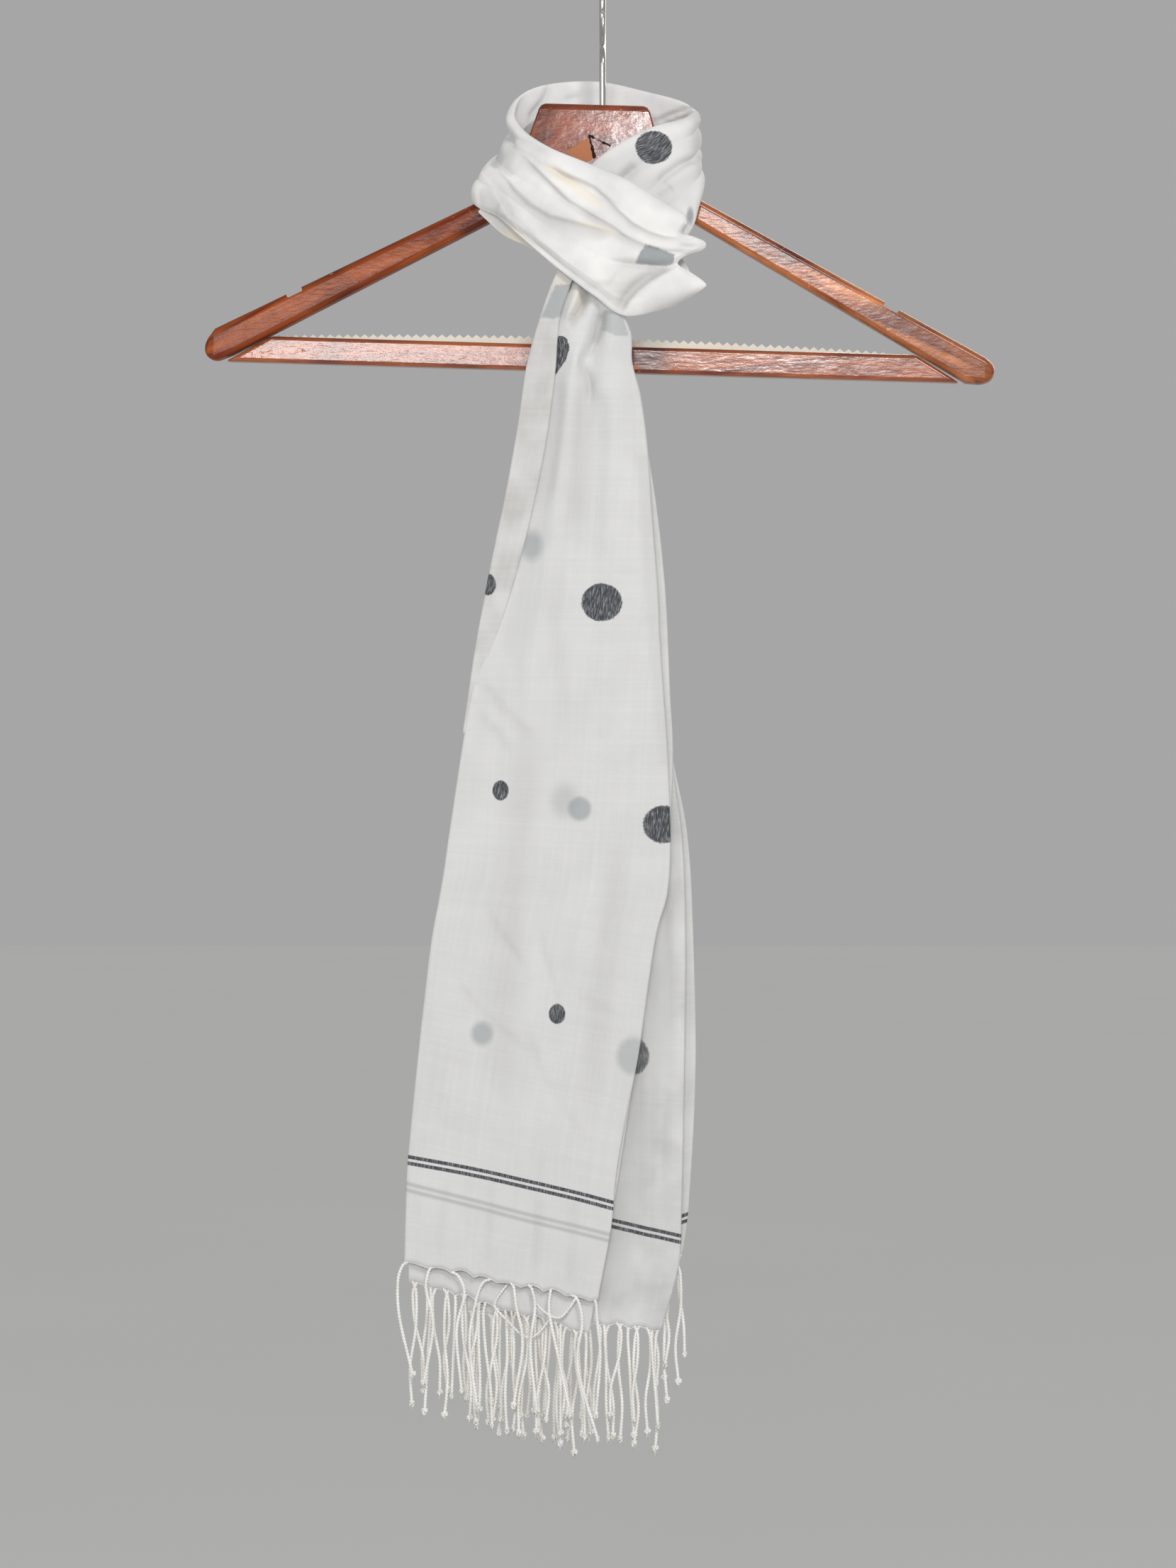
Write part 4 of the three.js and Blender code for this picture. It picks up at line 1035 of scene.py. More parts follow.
# %% The nearer end: front layer and its side fold
FRONT_FOLDS = [
    # where the cloth comes out of the loop: a small rolled fold between two creases, and two lobes
    ("crease", 4.4, 2.5, [(-8.5, -178.6), (-9.7, -186.4), (-12.2, -192.1), (-16.1, -197.1), (-21.1, -200)]),
    ("crease", -3.8, 2.8, [(-13.7, -177.1), (-15.9, -186.4), (-18.8, -193.5), (-21.1, -198.1)]),
    ("crease", 4.4, 2.7, [(0.3, -192.1), (-1.1, -197.8), (-2.8, -206.3), (-5, -212.7)]),
    ("crease", 2.6, 2.4, [
        (-5, -207.7), (-6.8, -214.8), (-10.8, -219.8), (-12.2, -223.1), (-7.8, -229.1), (-6.5, -234.8),
        (-6.8, -243.3),
    ]),
    ("crease", -3, 4, [(-4.7, -180), (-6.8, -193.5), (-10.4, -207.7), (-13.9, -219.1), (-15.4, -230.5)]),
    ("crease", -2.4, 5.5, [(4.8, -205.6), (0.6, -216.3), (-1.1, -229.1), (0.3, -244.7)]),
    ("crease", 1.7, 4, [(-23.2, -227.7), (-24.5, -244.7), (-26.5, -264.6), (-29.6, -286), (-33.2, -301.6)]),
    # long soft folds below the gathers
    ("crease", 1.7, 5.0, [(-9, -227), (-11, -262), (-16, -320)]),
    ("crease", -1.8, 6.0, [(6, -226), (4, -300), (2, -380), (0, -440)]),
    ("crease", 1.2, 7.0, [(-40, -420), (-52, -520), (-60, -640)]),
    ("crease", -0.9, 8.0, [(-14, -470), (-20, -560), (-26, -660)]),
    ("crease", 1.2, 6.0, [(10, -480), (2, -560), (-8, -650)]),
    # slanting drags and old crumples
    ("crease", 1, 3, [(-69.8, -399.6), (-56.9, -416), (-38.2, -434.8)]),
    ("crease", 0.8, 2.4, [(-71, -418.4), (-59.3, -430.6), (-51.1, -443)]),
    ("crease", 0.8, 4, [(-24.1, -324.6), (-28.4, -366.8), (-22.3, -409), (-26.5, -437.1)]),
    ("crease", 0.9, 2, [(-65.1, -527.6), (-58.4, -540.9), (-50.5, -551.5), (-43.3, -562.1)]),
    ("crease", 0.8, 1.8, [(-35.9, -538.2), (-32.7, -554.2), (-27.9, -570.1), (-23.9, -591.3)]),
    ("crease", 0.8, 3, [(-43.8, -591.3), (-35.9, -617.9), (-25.2, -636.5), (-9.3, -660.4)]),
    ("crease", 0.7, 2.2, [(-30.5, -575.4), (-9.3, -578.6), (9.3, -588.7)]),
    ("crease", 0.7, 2, [(-83.7, -567.4), (-73, -581.2), (-54.4, -599.3), (-35.9, -609.9)]),
    ("crease", -0.8, 6, [(-99.6, -564.8), (-89, -612.6), (-81, -660.4)]),
    # pleats drawn up by the twisted bunches
    ("crease", 0.8, 2.5, [(-34, -660), (-36, -700), (-37, -738)]),
    ("crease", 0.7, 2.2, [(-62, -676), (-64, -700), (-66, -732)]),
    ("crease", 0.7, 2.2, [(-88, -680), (-90, -700), (-92, -726)]),
    ("crease", 0.8, 2.6, [(-16, -690), (-17, -715), (-18, -742)]),
]
front_marks = seen_marks(
    -23.0, (-0.4, -356.3, 22.7, 21.5, 0.05, 1.0), (-57.4, -461.9, 9.0, 11.2, 0.08, 1.0),
    (-25.5, -587.4, 9.6, 11.6, 0.08, 1.0), (33.9, -481.0, 22.5, 21.0, 0.05, 1.0),
) + seen_patch(
    -23, 0.4, 1, (-29.6, -206.6), (-22.5, -206.5), (-19.9, -208.3), (-18.6, -213.1), (-20.2, -219.4),
    (-23.6, -224.2), (-29.6, -231.9),
)
front_shadows = seen_marks(
    -23.0, (-39.8, -324.4, 12.0, 16.0, 0.5, 0.65), (-12.9, -472.2, 13.0, 13.5, 0.25, 0.7),
    (-21.5, -468.0, 14.0, 17.0, 0.6, 0.35), (-67.7, -598.5, 12.0, 13.0, 0.4, 0.65),
    (17.1, -611.2, 18.0, 21.0, 0.25, 0.5),
) + seen_patch(-23, 0.9, 0.5, (0.6, -192.1), (10.5, -192.9), (14.8, -206.3), (7.4, -206.7), (-0.7, -203.2))
front_painted_shade = (
    # painted shade beside the side fold, in its shadow, and along both sides, where the cloth turns away and
    # light comes through one layer
    seen_patch(
        -22, 3.5, 0.45, (-27.9, -224.8), (-20.3, -226.8), (-23.9, -272.6), (-29.5, -324.4), (-43, -324.4),
        (-35.1, -280.6),
    )
    + seen_patch(
        -22, 4.5, 0.35, (-42.2, -314.4), (-28.7, -314.4), (-34.3, -360.3), (-45.8, -400.1),
        (-56.6, -378.2),
    )
    + seen_patch(
        -22, 3.0, 0.35, (-70.9, -388.2), (-63.7, -388.2), (-83.7, -495.7), (-99.6, -595.3),
        (-104.4, -726.8), (-113.1, -726.8), (-107.6, -595.3), (-90.8, -487.8),
    )
    + seen_patch(
        -22, 2.4, 0.35, (18.7, -272.6), (28.7, -272.6), (39.8, -447.9), (31.9, -447.9), (25.5, -376.2),
        (21.9, -320.4),
    )
)
front_stripes = stripe_pair(-108.0, -669.0, 0.165, bow=0.5)
shadow_stripes = stripe_pair(-105.0, -685.0, 0.25, thick=2.2, soft=0.9, strength=0.5)
# the front layer's darker base is painted shade, and a spot of painted warm bounce light lies by the rolled
# fold
front_voile = voile(
    "cotton_voile_front", "#d3d3d2", front_marks, front_shadows, front_stripes, shadow_stripes,
    bounce_warmth=seen_marks(-23.0, (-14.0, -186.0, 7.0, 16.0, 0.8, 0.3)), painted_shade=front_painted_shade,
)
front_shape = panel_points(FRONT_PANEL, "front", 230, 120, FRONT_FOLDS)
tail_front = cloth_panel("tail_front_layer", front_shape, front_voile, "tail_front")

# the side fold's base, darker still, is painted shade, and a spot of painted warm bounce light lies at its
# top
side_voile = voile(
    "cotton_voile_side", "#bfbebb",
    seen_marks(-27.0, (-64.6, -346.0, 9.4, 12.6, 0.08, 1.0)),
    seen_patch(
        -27, 0.9, 0.7, (-26.5, -177.6), (-14.7, -177), (-20.5, -194.2), (-27.9, -196.5), (-34.6, -195.8),
    ),
    bounce_warmth=seen_marks(-27.0, (-24.0, -176.0, 8.0, 10.0, 0.8, 0.3)),
)
SIDE_FOLDS = [("crease", 0.7, 4.0, [(-30, -200), (-38, -240), (-50, -320)])]
side_shape = panel_points(SIDE_FOLD, "side", 110, 30, SIDE_FOLDS, scalloped=False, rear=5.0)
tail_side = cloth_panel("tail_side_layer", side_shape, side_voile, "tail_side_fold")

# %% The layers behind
inner_shape = panel_points(INNER_PANEL, "inner", 150, 100)
# the inner layer's darker base is painted shade
inner_voile = voile("cotton_voile_inner", "#d0d0cf", stripes=stripe_pair(-105.0, -685.0, 0.25))
tail_inner = cloth_panel("tail_inner_layer", inner_shape, inner_voile, "tail_inner")

BACK_FOLDS = [
    ("crease", -1.2, 4.0, [(20, -560), (26, -640), (24, -730)]),
    ("crease", 1.0, 3.0, [(34, -500), (38, -600), (36, -700)]),
]
back_marks = seen_marks(
    -14.0, (17.1, -611.2, 18.0, 21.0, 0.07, 0.85), (-30.0, -420.0, 22.0, 21.5, 0.05, 1.0),
    (-4.0, -300.0, 10.0, 11.5, 0.08, 1.0), (-48.0, -540.0, 10.0, 11.5, 0.08, 1.0),
)
back_stripes = stripe_pair(6.0, -704.9, 0.24)
# painted shade: the back layer's base is darker than the wrap's, and this patch darkens it more beside the
# front layer's edge, whose shadow falls on it
back_painted_shade = seen_patch(
    -14, 5, 0.6, (21.9, -523.6), (39, -515.6), (42.2, -567.4), (33.9, -623.2), (25.9, -671),
    (13.9, -734.8), (-4, -754.7), (0, -655.1),
)
back_voile = voile("cotton_voile_back", "#c2c2c1", back_marks, stripes=back_stripes, painted_shade=back_painted_shade)
back_shape = panel_points(BACK_PANEL, "back", 200, 100, BACK_FOLDS)
tail_back = cloth_panel("tail_back_layer", back_shape, back_voile, "tail_back")

# the far strip's darker base is painted shade
far_voile = voile("cotton_voile_far", "#cdcdcc", stripes=stripe_pair(43.4, -703.7, -0.36))
far_shape = panel_points(FAR_STRIP, "far", 90, 24, rear=3.0)
tail_far = cloth_panel("tail_far_layer", far_shape, far_voile, "tail_back_edge")

# %% [markdown]
# ## The fringe
# Before a woven scarf leaves the loom its warp ends are twisted in bunches. Each bunch is two
# strands twisted against each other, with an overhand knot near its end and a small frayed tuft
# below it. A bunch leaves the hem sideways, because the hem is pulled up between bunches, and
# then droops. A cord is a tube with two lobes that turns as it goes along, which shows the two
# strands with few faces. A knot is the same tube laid along a trefoil, which is what an overhand
# knot is when its ends are pulled together.

# %% Cords, knots and tufts
CORD_RADIUS = 1.0
CORD_LAY = 3.6  # one full turn of the two strands


def smooth_path(corners, spacing):
    """Evenly spaced points along a smooth curve through the corners."""
    p = np.array(corners, dtype=float)
    p = np.concatenate([[2 * p[0] - p[1]], p, [2 * p[-1] - p[-2]]])
    t = np.linspace(0, 1, 24, endpoint=False)[:, None]
    runs = []
    for a, b, c, d in zip(p[:-3], p[1:-2], p[2:-1], p[3:]):
        bend, twist = 2 * a - 5 * b + 4 * c - d, 3 * b - a - 3 * c + d
        runs.append(0.5 * (2 * b + (c - a) * t + bend * t**2 + twist * t**3))
    fine = np.concatenate(runs + [p[-2:-1]])
    length = np.concatenate([[0], np.cumsum(np.linalg.norm(np.diff(fine, axis=0), axis=1))])
    even = np.linspace(0, length[-1], max(4, int(length[-1] / spacing)))
    return np.stack([np.interp(even, length, fine[:, k]) for k in range(3)], axis=1)


def tube_points(path, radius, sides, lobes=0.0, lay=CORD_LAY):
    """Rings round a path. Lobes flatten the tube into two strands, which turn once in each lay."""
    along = np.gradient(path, axis=0)
    along /= np.linalg.norm(along, axis=1, keepdims=True)
    side, turned_sides = np.cross(along[0], (0.0, 1.0, 0.1)), []
    for direction in along:
        side = side - direction * np.dot(side, direction)
        side = side / np.linalg.norm(side)
        turned_sides.append(side)
    side = np.array(turned_sides)
    up = np.cross(along, side)
    length = np.concatenate([[0], np.cumsum(np.linalg.norm(np.diff(path, axis=0), axis=1))])
    angle = np.arange(sides) * 2 * math.pi / sides
    radius = np.broadcast_to(radius, (len(path),))[:, None] * (1 - lobes + lobes * np.cos(2 * angle))[None, :]
    turned = angle[None, :] + (2 * math.pi * length / lay)[:, None]
    return (
        path[:, None, :]
        + side[:, None, :] * (radius * np.cos(turned))[..., None]
        + up[:, None, :] * (radius * np.sin(turned))[..., None]
    )


class Bundle:
    """Collects many tubes into the lists that one mesh is made from."""

    def __init__(self):
        self.vertices, self.faces, self.coords, self.count = [], [], [], 0

    def add(self, rings):
        rows, sides, _ = rings.shape
        self.vertices.append(rings.reshape(-1, 3))
        r, c = np.meshgrid(np.arange(rows - 1), np.arange(sides), indexing="ij")
        n = (c + 1) % sides
        quads = np.stack([r * sides + c, r * sides + n, (r + 1) * sides + n, (r + 1) * sides + c], axis=-1)
        self.faces += [tuple(q) for q in (quads.reshape(-1, 4) + self.count).tolist()]
        corners = [np.stack([c + i, r + j], -1) for i, j in ((0, 0), (1, 0), (1, 1), (0, 1))]
        self.coords.append(np.stack(corners, axis=2).reshape(-1, 2))
        for end, order in ((0, -1), (rows - 1, 1)):
            ring = [self.count + end * sides + k for k in range(sides)][::order]
            self.faces.append(tuple(ring))
            self.coords.append(np.zeros((sides, 2)))
        self.count += rows * sides

    def piece(self, name):
        mesh = bpy.data.meshes.new(name)
        mesh.from_pydata((np.concatenate(self.vertices) * MM).tolist(), [], self.faces)
        uv = mesh.uv_layers.new(name="cord")
        uv.data.foreach_set("uv", (np.concatenate(self.coords) * MM).ravel())
        return link_smooth(name, mesh)


def add_knot(bundle, end, seed):
    """An overhand knot just above the cord's end, and the frayed tuft below it."""
    t = np.linspace(0, 2 * math.pi, 21)
    trefoil = np.stack([np.sin(t) + 2 * np.sin(2 * t), -np.sin(3 * t), np.cos(t) - 2 * np.cos(2 * t)], axis=1)
    turn = seed * 1.9
    spin = np.array([[math.cos(turn), -math.sin(turn), 0], [math.sin(turn), math.cos(turn), 0], [0, 0, 1]])
    bundle.add(tube_points(end + trefoil @ spin * 0.58, 0.68, 5))
    for k in range(7):
        angle = k * 2.4 + seed
        out = np.array([math.cos(angle), math.sin(angle), 0.0]) * (0.9 + 0.5 * math.sin(seed + k * 5.0))
        tip = end + out * 1.5 + (0, 0, -3.6 - 0.9 * math.sin(seed * 2 + k))
        path = np.array([end + out * 0.2, end + out * 0.8 + (0, 0, -1.6), tip])
        bundle.add(tube_points(path, np.array([0.24, 0.2, 0.05]), 3))


def add_tassel(bundle, corners, seed):
    """A twisted cord through its corners, with its knot and tuft. The seed only turns them."""
    path = smooth_path(corners, CORD_LAY / 8)
    bundle.add(tube_points(path, CORD_RADIUS, 8, lobes=0.22))
    add_knot(bundle, path[-1], seed)


# %% [markdown]
# ## Cotton cord
# The twisted bunches are the same unbleached cotton as the cloth, only thicker, so they look a
# little warmer, and fine fibres stand out of them and make them matt.

# %% Cord material
cord_material, tree, shader = new_material("twisted_cotton")
place = add_node(tree, "TexCoord").outputs["Object"]
fibres = add_node(tree, "TexNoise", {"Scale": 2600.0, "Detail": 3.0}, {"Vector": place})
patches = add_node(tree, "TexNoise", {"Scale": 90.0}, {"Vector": place})
share = add_node(tree, "MapRange", {"From Min": 0.35, "From Max": 0.7}, {"Value": patches})
base = blend_colours(tree, share, "#f7f6f3", "#ebe8e2")
tree.links.new(base, shader.inputs["Base Color"])
bump = add_node(tree, "Bump", {"Strength": 0.4, "Distance": 0.00015}, {"Height": fibres})
tree.links.new(bump.outputs[0], shader.inputs["Normal"])
shader.inputs["Roughness"].default_value = 0.92
shader.inputs["Sheen Weight"].default_value = 0.2
shader.inputs["Specular IOR Level"].default_value = 0.2

# %% Hems and tassels
HEM_GRIP = 0.4  # how far up into the hem a bunch begins
# The nearer hem as measured: where each bunch leaves, and how far it swings sideways
TASSEL_COLUMNS = ["x", "bow", "middle", "end", "long"]
NEAR_TASSELS = [
    dict(zip(TASSEL_COLUMNS, row))
    for row in [
        (-109.5, -5.6, -4.4, 2.8, 62), (-96.0, -3.2, 0.8, -4.4, 64), (-85.3, 7.6, 3.2, 6.0, 66),
        (-62.2, -9.2, -12.4, -8.4, 70), (-52.0, 3.5, 7.0, 2.0, 68), (-42.0, 4.0, 1.5, 5.0, 70),
        (-28.7, -1.2, 3.2, 10.8, 70), (-17.9, 6.4, 4.0, 15.0, 80), (-4.6, 1.6, 3.2, 0.8, 64),
    ]
]
# Two bunches are caught up in a loop below the nearer hem, as seen: x and drop of each bend
CAUGHT = [
    [(-53.4, 739.2), (-60.6, 750.4), (-54.2, 758.8), (-44.2, 768.4), (-37.1, 767.6), (-28.0, 757.0)],
    [(-40.0, 743.0), (-36.3, 751.2), (-29.5, 756.8), (-23.5, 757.6), (-17.9, 751.6), (-15.0, 747.0)],
]


def hem_height(rows, x):
    """Height of a layer's hem at x, as its panel has it."""
    middle = (rows["left"][-1] + rows["right"][-1]) / 2
    return -rows["drop"][-1] - rows["tilt"][-1] * (x - middle) + hem_lift(rows, x)


def hem_depth(rows, layer, x):
    """How far forward a layer's hem lies at x."""
    z = hem_height(rows, x)
    return LEVELS[layer] + hang_wave(x, -z) + FOLD_RADIUS * 0.4


def add_hem_cord(bundle, rows, layer):
    """The first twist of the warp ends runs along the scallops as a thin raised edge."""
    left, right = rows["left"][-1], rows["right"][-1]
    x = np.arange(left + 0.4, right - 0.4, 0.45)
    path = np.stack([x, hem_depth(rows, layer, x), hem_height(rows, x)], axis=1)
    bundle.add(tube_points(path, 0.7, 6, lobes=0.2, lay=3.4))


def add_row(bundle, rows, layer, count, long, seed, fan):
    """An even row of bunches below a hem, each with its own bow, sway and length. Three lanes
    keep neighbours apart where they cross, and fan moves the whole row back."""
    left, right = rows["left"][-1], rows["right"][-1]
    for k in range(count):
        x = left + (k + 0.5) / count * (right - left)
        wobble, drift = math.sin(seed + k * 2.4), math.sin(seed * 3 + k * 1.7)
        length = long * (0.9 + 0.12 * math.sin(seed + k * 4.1))
        lane = fan + ((k % 3) - 1) * 1.8
        z, y = float(hem_height(rows, x)), float(hem_depth(rows, layer, x))
        bends = [
            (0.03, 1.6 * wobble, 0.05), (0.12, 3.0 * wobble, 0.3), (0.38, 2.6 * wobble + drift, 0.8),
            (0.7, 2.0 * drift - wobble, 1), (1, 3.4 * drift, 1),
        ]
        corners = [(x + aside, y + away * lane, z - down * length) for down, aside, away in bends]
        add_tassel(bundle, [(x, y, z + HEM_GRIP), *corners], seed + k)


near = Bundle()
for k, tassel in enumerate(NEAR_TASSELS):
    x = place_seen(tassel["x"], 0, LEVELS["front"])[0]
    z, y = float(hem_height(FRONT_PANEL, x)), float(hem_depth(FRONT_PANEL, "front", x))
    lane = -3.0 + ((k % 3) - 1) * 1.6
    bow, middle, end, long = (tassel[c] for c in ("bow", "middle", "end", "long"))
    corners = [
        (x, y, z + HEM_GRIP), (x + 0.6 * bow, y + 0.1 * lane, z - 2.5),
        (x + bow, y + 0.4 * lane, z - 0.19 * long), (x + middle, y + lane, z - 0.5 * long),
        (x + end, y + lane, z - long),
    ]
    add_tassel(near, corners, k * 1.3)
for points in CAUGHT:
    corners = []
    for k, (x, drop) in enumerate(points):
        real_x, real_z = place_seen(x, -drop, LEVELS["front"])
        corners.append((real_x, LEVELS["front"] - 2.5 * math.sin(math.pi * k / (len(points) - 1)), real_z))
    near.add(tube_points(smooth_path(corners, CORD_LAY / 8), CORD_RADIUS * 0.85, 8, lobes=0.22))
add_hem_cord(near, FRONT_PANEL, "front")
fringe_near = near.piece("fringe_near")
hand_over(fringe_near, "cotton_fringe", cord_material, "fringe_front")

FRINGE_ROWS = [  # name, layer's shape, layer, bunches, their length, seed, fan and node
    ("fringe_inside", INNER_PANEL, "inner", 29, 68, 2.1, 0.0, "fringe_inner"),
    ("fringe_farther", BACK_PANEL, "back", 32, 66, 0.4, 3.0, "fringe_back"),
    ("fringe_selvedge", FAR_STRIP, "far", 6, 66, 4.2, 4.0, "fringe_back_edge"),
]
fringes = {"front": fringe_near}
for name, rows, layer, count, long, seed, fan, replaced in FRINGE_ROWS:
    bundle = Bundle()
    add_row(bundle, rows, layer, count, long, seed, fan)
    add_hem_cord(bundle, rows, layer)
    fringes[layer] = bundle.piece(name)
    hand_over(fringes[layer], "cotton_fringe", cord_material, replaced)

# %% [markdown]
# ## The wooden hanger
# A maker saws each half of the body from a board, planes its long edges round, glues the halves
# together at the head and then fits the trouser bar between the arms. Here a cube is the piece of
# board at the head. Its outer face is extruded from station to station along the arm, and each
# time it is moved and scaled to the arm's height there. A bevel then planes the edges, and a
# second block cuts the notch for straps.

# %% Sawing a half
HANGER_ROLL, HANGER_TURN = math.radians(2.0), math.radians(3.5)
HANGER_PLACE = Matrix.Rotation(-HANGER_TURN, 4, "Z") @ Matrix.Rotation(HANGER_ROLL, 4, "Y")
WOOD_THICK, WOOD_ROUND = 13.0, 3.4
SEAM = 0.06  # the glued joint between the halves
HEAD_TOP, HEAD_FOOT, ARCH_FOOT = -75.4, -114.8, -119.1
HEAD_HALF, ARCH_HALF = 30.5, 16.0  # from the middle to the head's corner, and to the arch's end
SHOULDER_OUT, SHOULDER_TOP = 42.4, -112.8
HEAD_MIDDLE, ARM_MIDDLE = -1.6, 1.5
ARM_SLOPE, ARM_TAPER = 0.515, 0.55
ARM_TOP_START, ARM_FOOT_START = 97.5, 110.3  # drops at the middle, if the arms ran on to it
BODY_FOOT = -226.8
END_TOP, END_FOOT, END_CURVE = -215.6, -222.6, 5.5  # the arm's end is cut round
SHARP = {"limit_method": "ANGLE", "angle_limit": math.radians(30)}  # which edges a plane rounds
SMOOTH_BELOW = math.radians(35)  # faces that meet at less than this are shaded as one curve
WIDE_FACE = 2.4  # a face at least this wide is flat, and a narrower one is part of a rounded edge


def arm_top(x):
    return -(ARM_TOP_START + abs(x - ARM_MIDDLE) * ARM_SLOPE)


def arm_foot(x):
    return max(-(ARM_FOOT_START + abs(x - ARM_MIDDLE) * ARM_TAPER), BODY_FOOT)


def add_block(name, centre, size, lean=0.0):
    """A block of wood at its place and size, leaning by an angle in the hanger's plane."""
    bpy.ops.object.select_all(action="DESELECT")
    place, scale = Vector(centre) * MM, Vector(size) * MM
    bpy.ops.mesh.primitive_cube_add(size=1, location=place, rotation=(0, lean, 0), scale=scale)
    block = bpy.context.object
    block.name = name
    bpy.ops.object.transform_apply(location=True, rotation=True, scale=True)
    return block


def select_parts(piece, kind, test):
    """In edit mode, selects just the faces or edges that pass a test."""
    bm = bmesh.from_edit_mesh(piece.data)
    for element in (*bm.verts, *bm.edges, *bm.faces):
        element.select_set(False)
    for element in getattr(bm, kind):
        if test(element):
            element.select_set(True)
    bmesh.update_edit_mesh(piece.data)


def saw_half(name, side, end):
    """One half of the body, from the middle of the head to the end of its arm."""
    head, corner, shoulder = (HEAD_MIDDLE + side * out for out in (SEAM / 2, HEAD_HALF, SHOULDER_OUT))
    slope = shoulder + side * 6
    last = end - side * 16  # clear of the end, so that the edges there have room to be rounded
    curve = end - side * END_CURVE
    stations = [  # x, top and foot
        (head, HEAD_TOP, HEAD_FOOT), (ARM_MIDDLE + side * ARCH_HALF, HEAD_TOP, ARCH_FOOT),
        (corner, HEAD_TOP, arm_foot(corner)), (shoulder, SHOULDER_TOP, arm_foot(shoulder)),
        (slope, arm_top(slope), arm_foot(slope)), (last, arm_top(last), arm_foot(last)),
        (curve, arm_top(curve), BODY_FOOT + 0.2), (end, END_TOP, END_FOOT),
    ]
    (_, top, foot), (x, _, _) = stations[:2]
    start = head - side * WOOD_THICK  # longer, so that the joint stays square
    half = add_block(
        name, ((start + x) / 2, 0, (top + foot) / 2), (abs(x - start), WOOD_THICK, top - foot)
    )
    bpy.ops.object.mode_set(mode="EDIT")
    bpy.ops.mesh.select_mode(type="FACE")
    select_parts(half, "faces", lambda face: face.normal.x * side > 0.9)
    for k, (next_x, next_top, next_foot) in enumerate(stations[1:]):
        move = Vector((next_x - x, 0, (next_top + next_foot - top - foot) / 2)) * MM
        if k == 0:
            bpy.ops.transform.translate(value=move)
        else:
            bpy.ops.mesh.extrude_region_move(TRANSFORM_OT_translate={"value": move})
        centre = Vector((next_x, 0, (next_top + next_foot) / 2)) * MM
        bpy.ops.transform.resize(value=(1, 1, (next_top - next_foot) / (top - foot)), center_override=centre)
        x, top, foot = next_x, next_top, next_foot
    bpy.ops.object.mode_set(mode="OBJECT")
    add_modifier(half, "BEVEL", width=WOOD_ROUND * MM, segments=5, **SHARP)
    select_only(half)
    bpy.ops.object.mode_set(mode="EDIT")
    bpy.ops.mesh.select_all(action="SELECT")
    joint = {"plane_co": (head * MM, 0, 0), "plane_no": (side, 0, 0)}
    bpy.ops.mesh.bisect(**joint, clear_inner=True, use_fill=True)
    bpy.ops.object.mode_set(mode="OBJECT")
    return half


def cut_notch(half, side, start):
    """A shallow notch for straps, cut across the top of the arm."""
    middle = start + side * 5
    size = (9.5, 30, 16)  # as long as the notch, wider than the wood, and mostly above it
    lean = side * math.atan(ARM_SLOPE)
    cutter = add_block("cutter", (middle, 0, arm_top(middle) + 6.1), size, lean)
    add_modifier(cutter, "BEVEL", width=1.0 * MM, segments=3)
    add_modifier(half, "BOOLEAN", operation="DIFFERENCE", object=cutter, solver="EXACT")
    bpy.data.objects.remove(cutter)


def flatten_wide_faces(piece):
    """Wide faces reflect as flat ones right up to their rounded edges, which turn smoothly."""
    mesh, sharp = piece.data, math.cos(SMOOTH_BELOW)
    around, flat = {}, set()
    for face in mesh.polygons:
        longest = max((mesh.vertices[a].co - mesh.vertices[b].co).length for a, b in face.edge_keys)
        if face.area > WIDE_FACE * MM * longest:
            flat.add(face.index)
        for vertex in face.vertices:
            around.setdefault(vertex, []).append(face)
    normals = []
    for face in mesh.polygons:
        for vertex in face.vertices:
            near = [other for other in around[vertex] if other.normal.dot(face.normal) > sharp] or [face]
            leading = [other for other in near if other.index in flat] or near
            normals.append(sum((other.normal for other in leading), Vector()).normalized())
    mesh.normals_split_custom_set(normals)


def finish_wood(piece, material, node):
    """Smooths a wooden piece, tips it as the whole hanger hangs and hands it over."""
    select_only(piece)
    bpy.ops.object.shade_smooth_by_angle(angle=SMOOTH_BELOW)
    piece.data.transform(HANGER_PLACE)
    flatten_wide_faces(piece)
    hand_over(piece, "lacquered_wood", material, node)


left_half = saw_half("arm_left", -1, -218.0)
right_half = saw_half("arm_right", 1, 228.0)
for half, side, notch, material, node in (
    (left_half, -1, -166.0, left_wood, "hanger_half_left"),
    (right_half, 1, 167.0, right_wood, "hanger_half_right"),
):
    cut_notch(half, side, notch)
    finish_wood(half, material, node)

# %% [markdown]
# ## The trouser bar
# The bar is a plain lath. Its ends are mitred to lie along the undersides of the arms, so the
# cube's lower end edges are moved outwards before its long edges are rounded.

# %% The bar
BAR_TOP, BAR_FOOT, BAR_THICK, BAR_ROUND = -211.2, -226.2, 11.0, 2.4
BAR_MIDDLE = (BAR_TOP + BAR_FOOT) / 2
# the bar stops a little short of the arms' undersides, more so at its foot
half_top = (-BAR_TOP - ARM_FOOT_START) / ARM_TAPER - 1.2
half_foot = (-BAR_FOOT - ARM_FOOT_START) / ARM_TAPER - 3.2
bar = add_block("bar", (ARM_MIDDLE, 0, BAR_MIDDLE), (2 * half_top, BAR_THICK, BAR_TOP - BAR_FOOT))


def at_lower_end(edge, side):
    """Whether both ends of an edge are low and on one side of the middle."""
    places = [vertex.co for vertex in edge.verts]
    return all((p.x - ARM_MIDDLE * MM) * side > 0 and p.z < BAR_MIDDLE * MM for p in places)


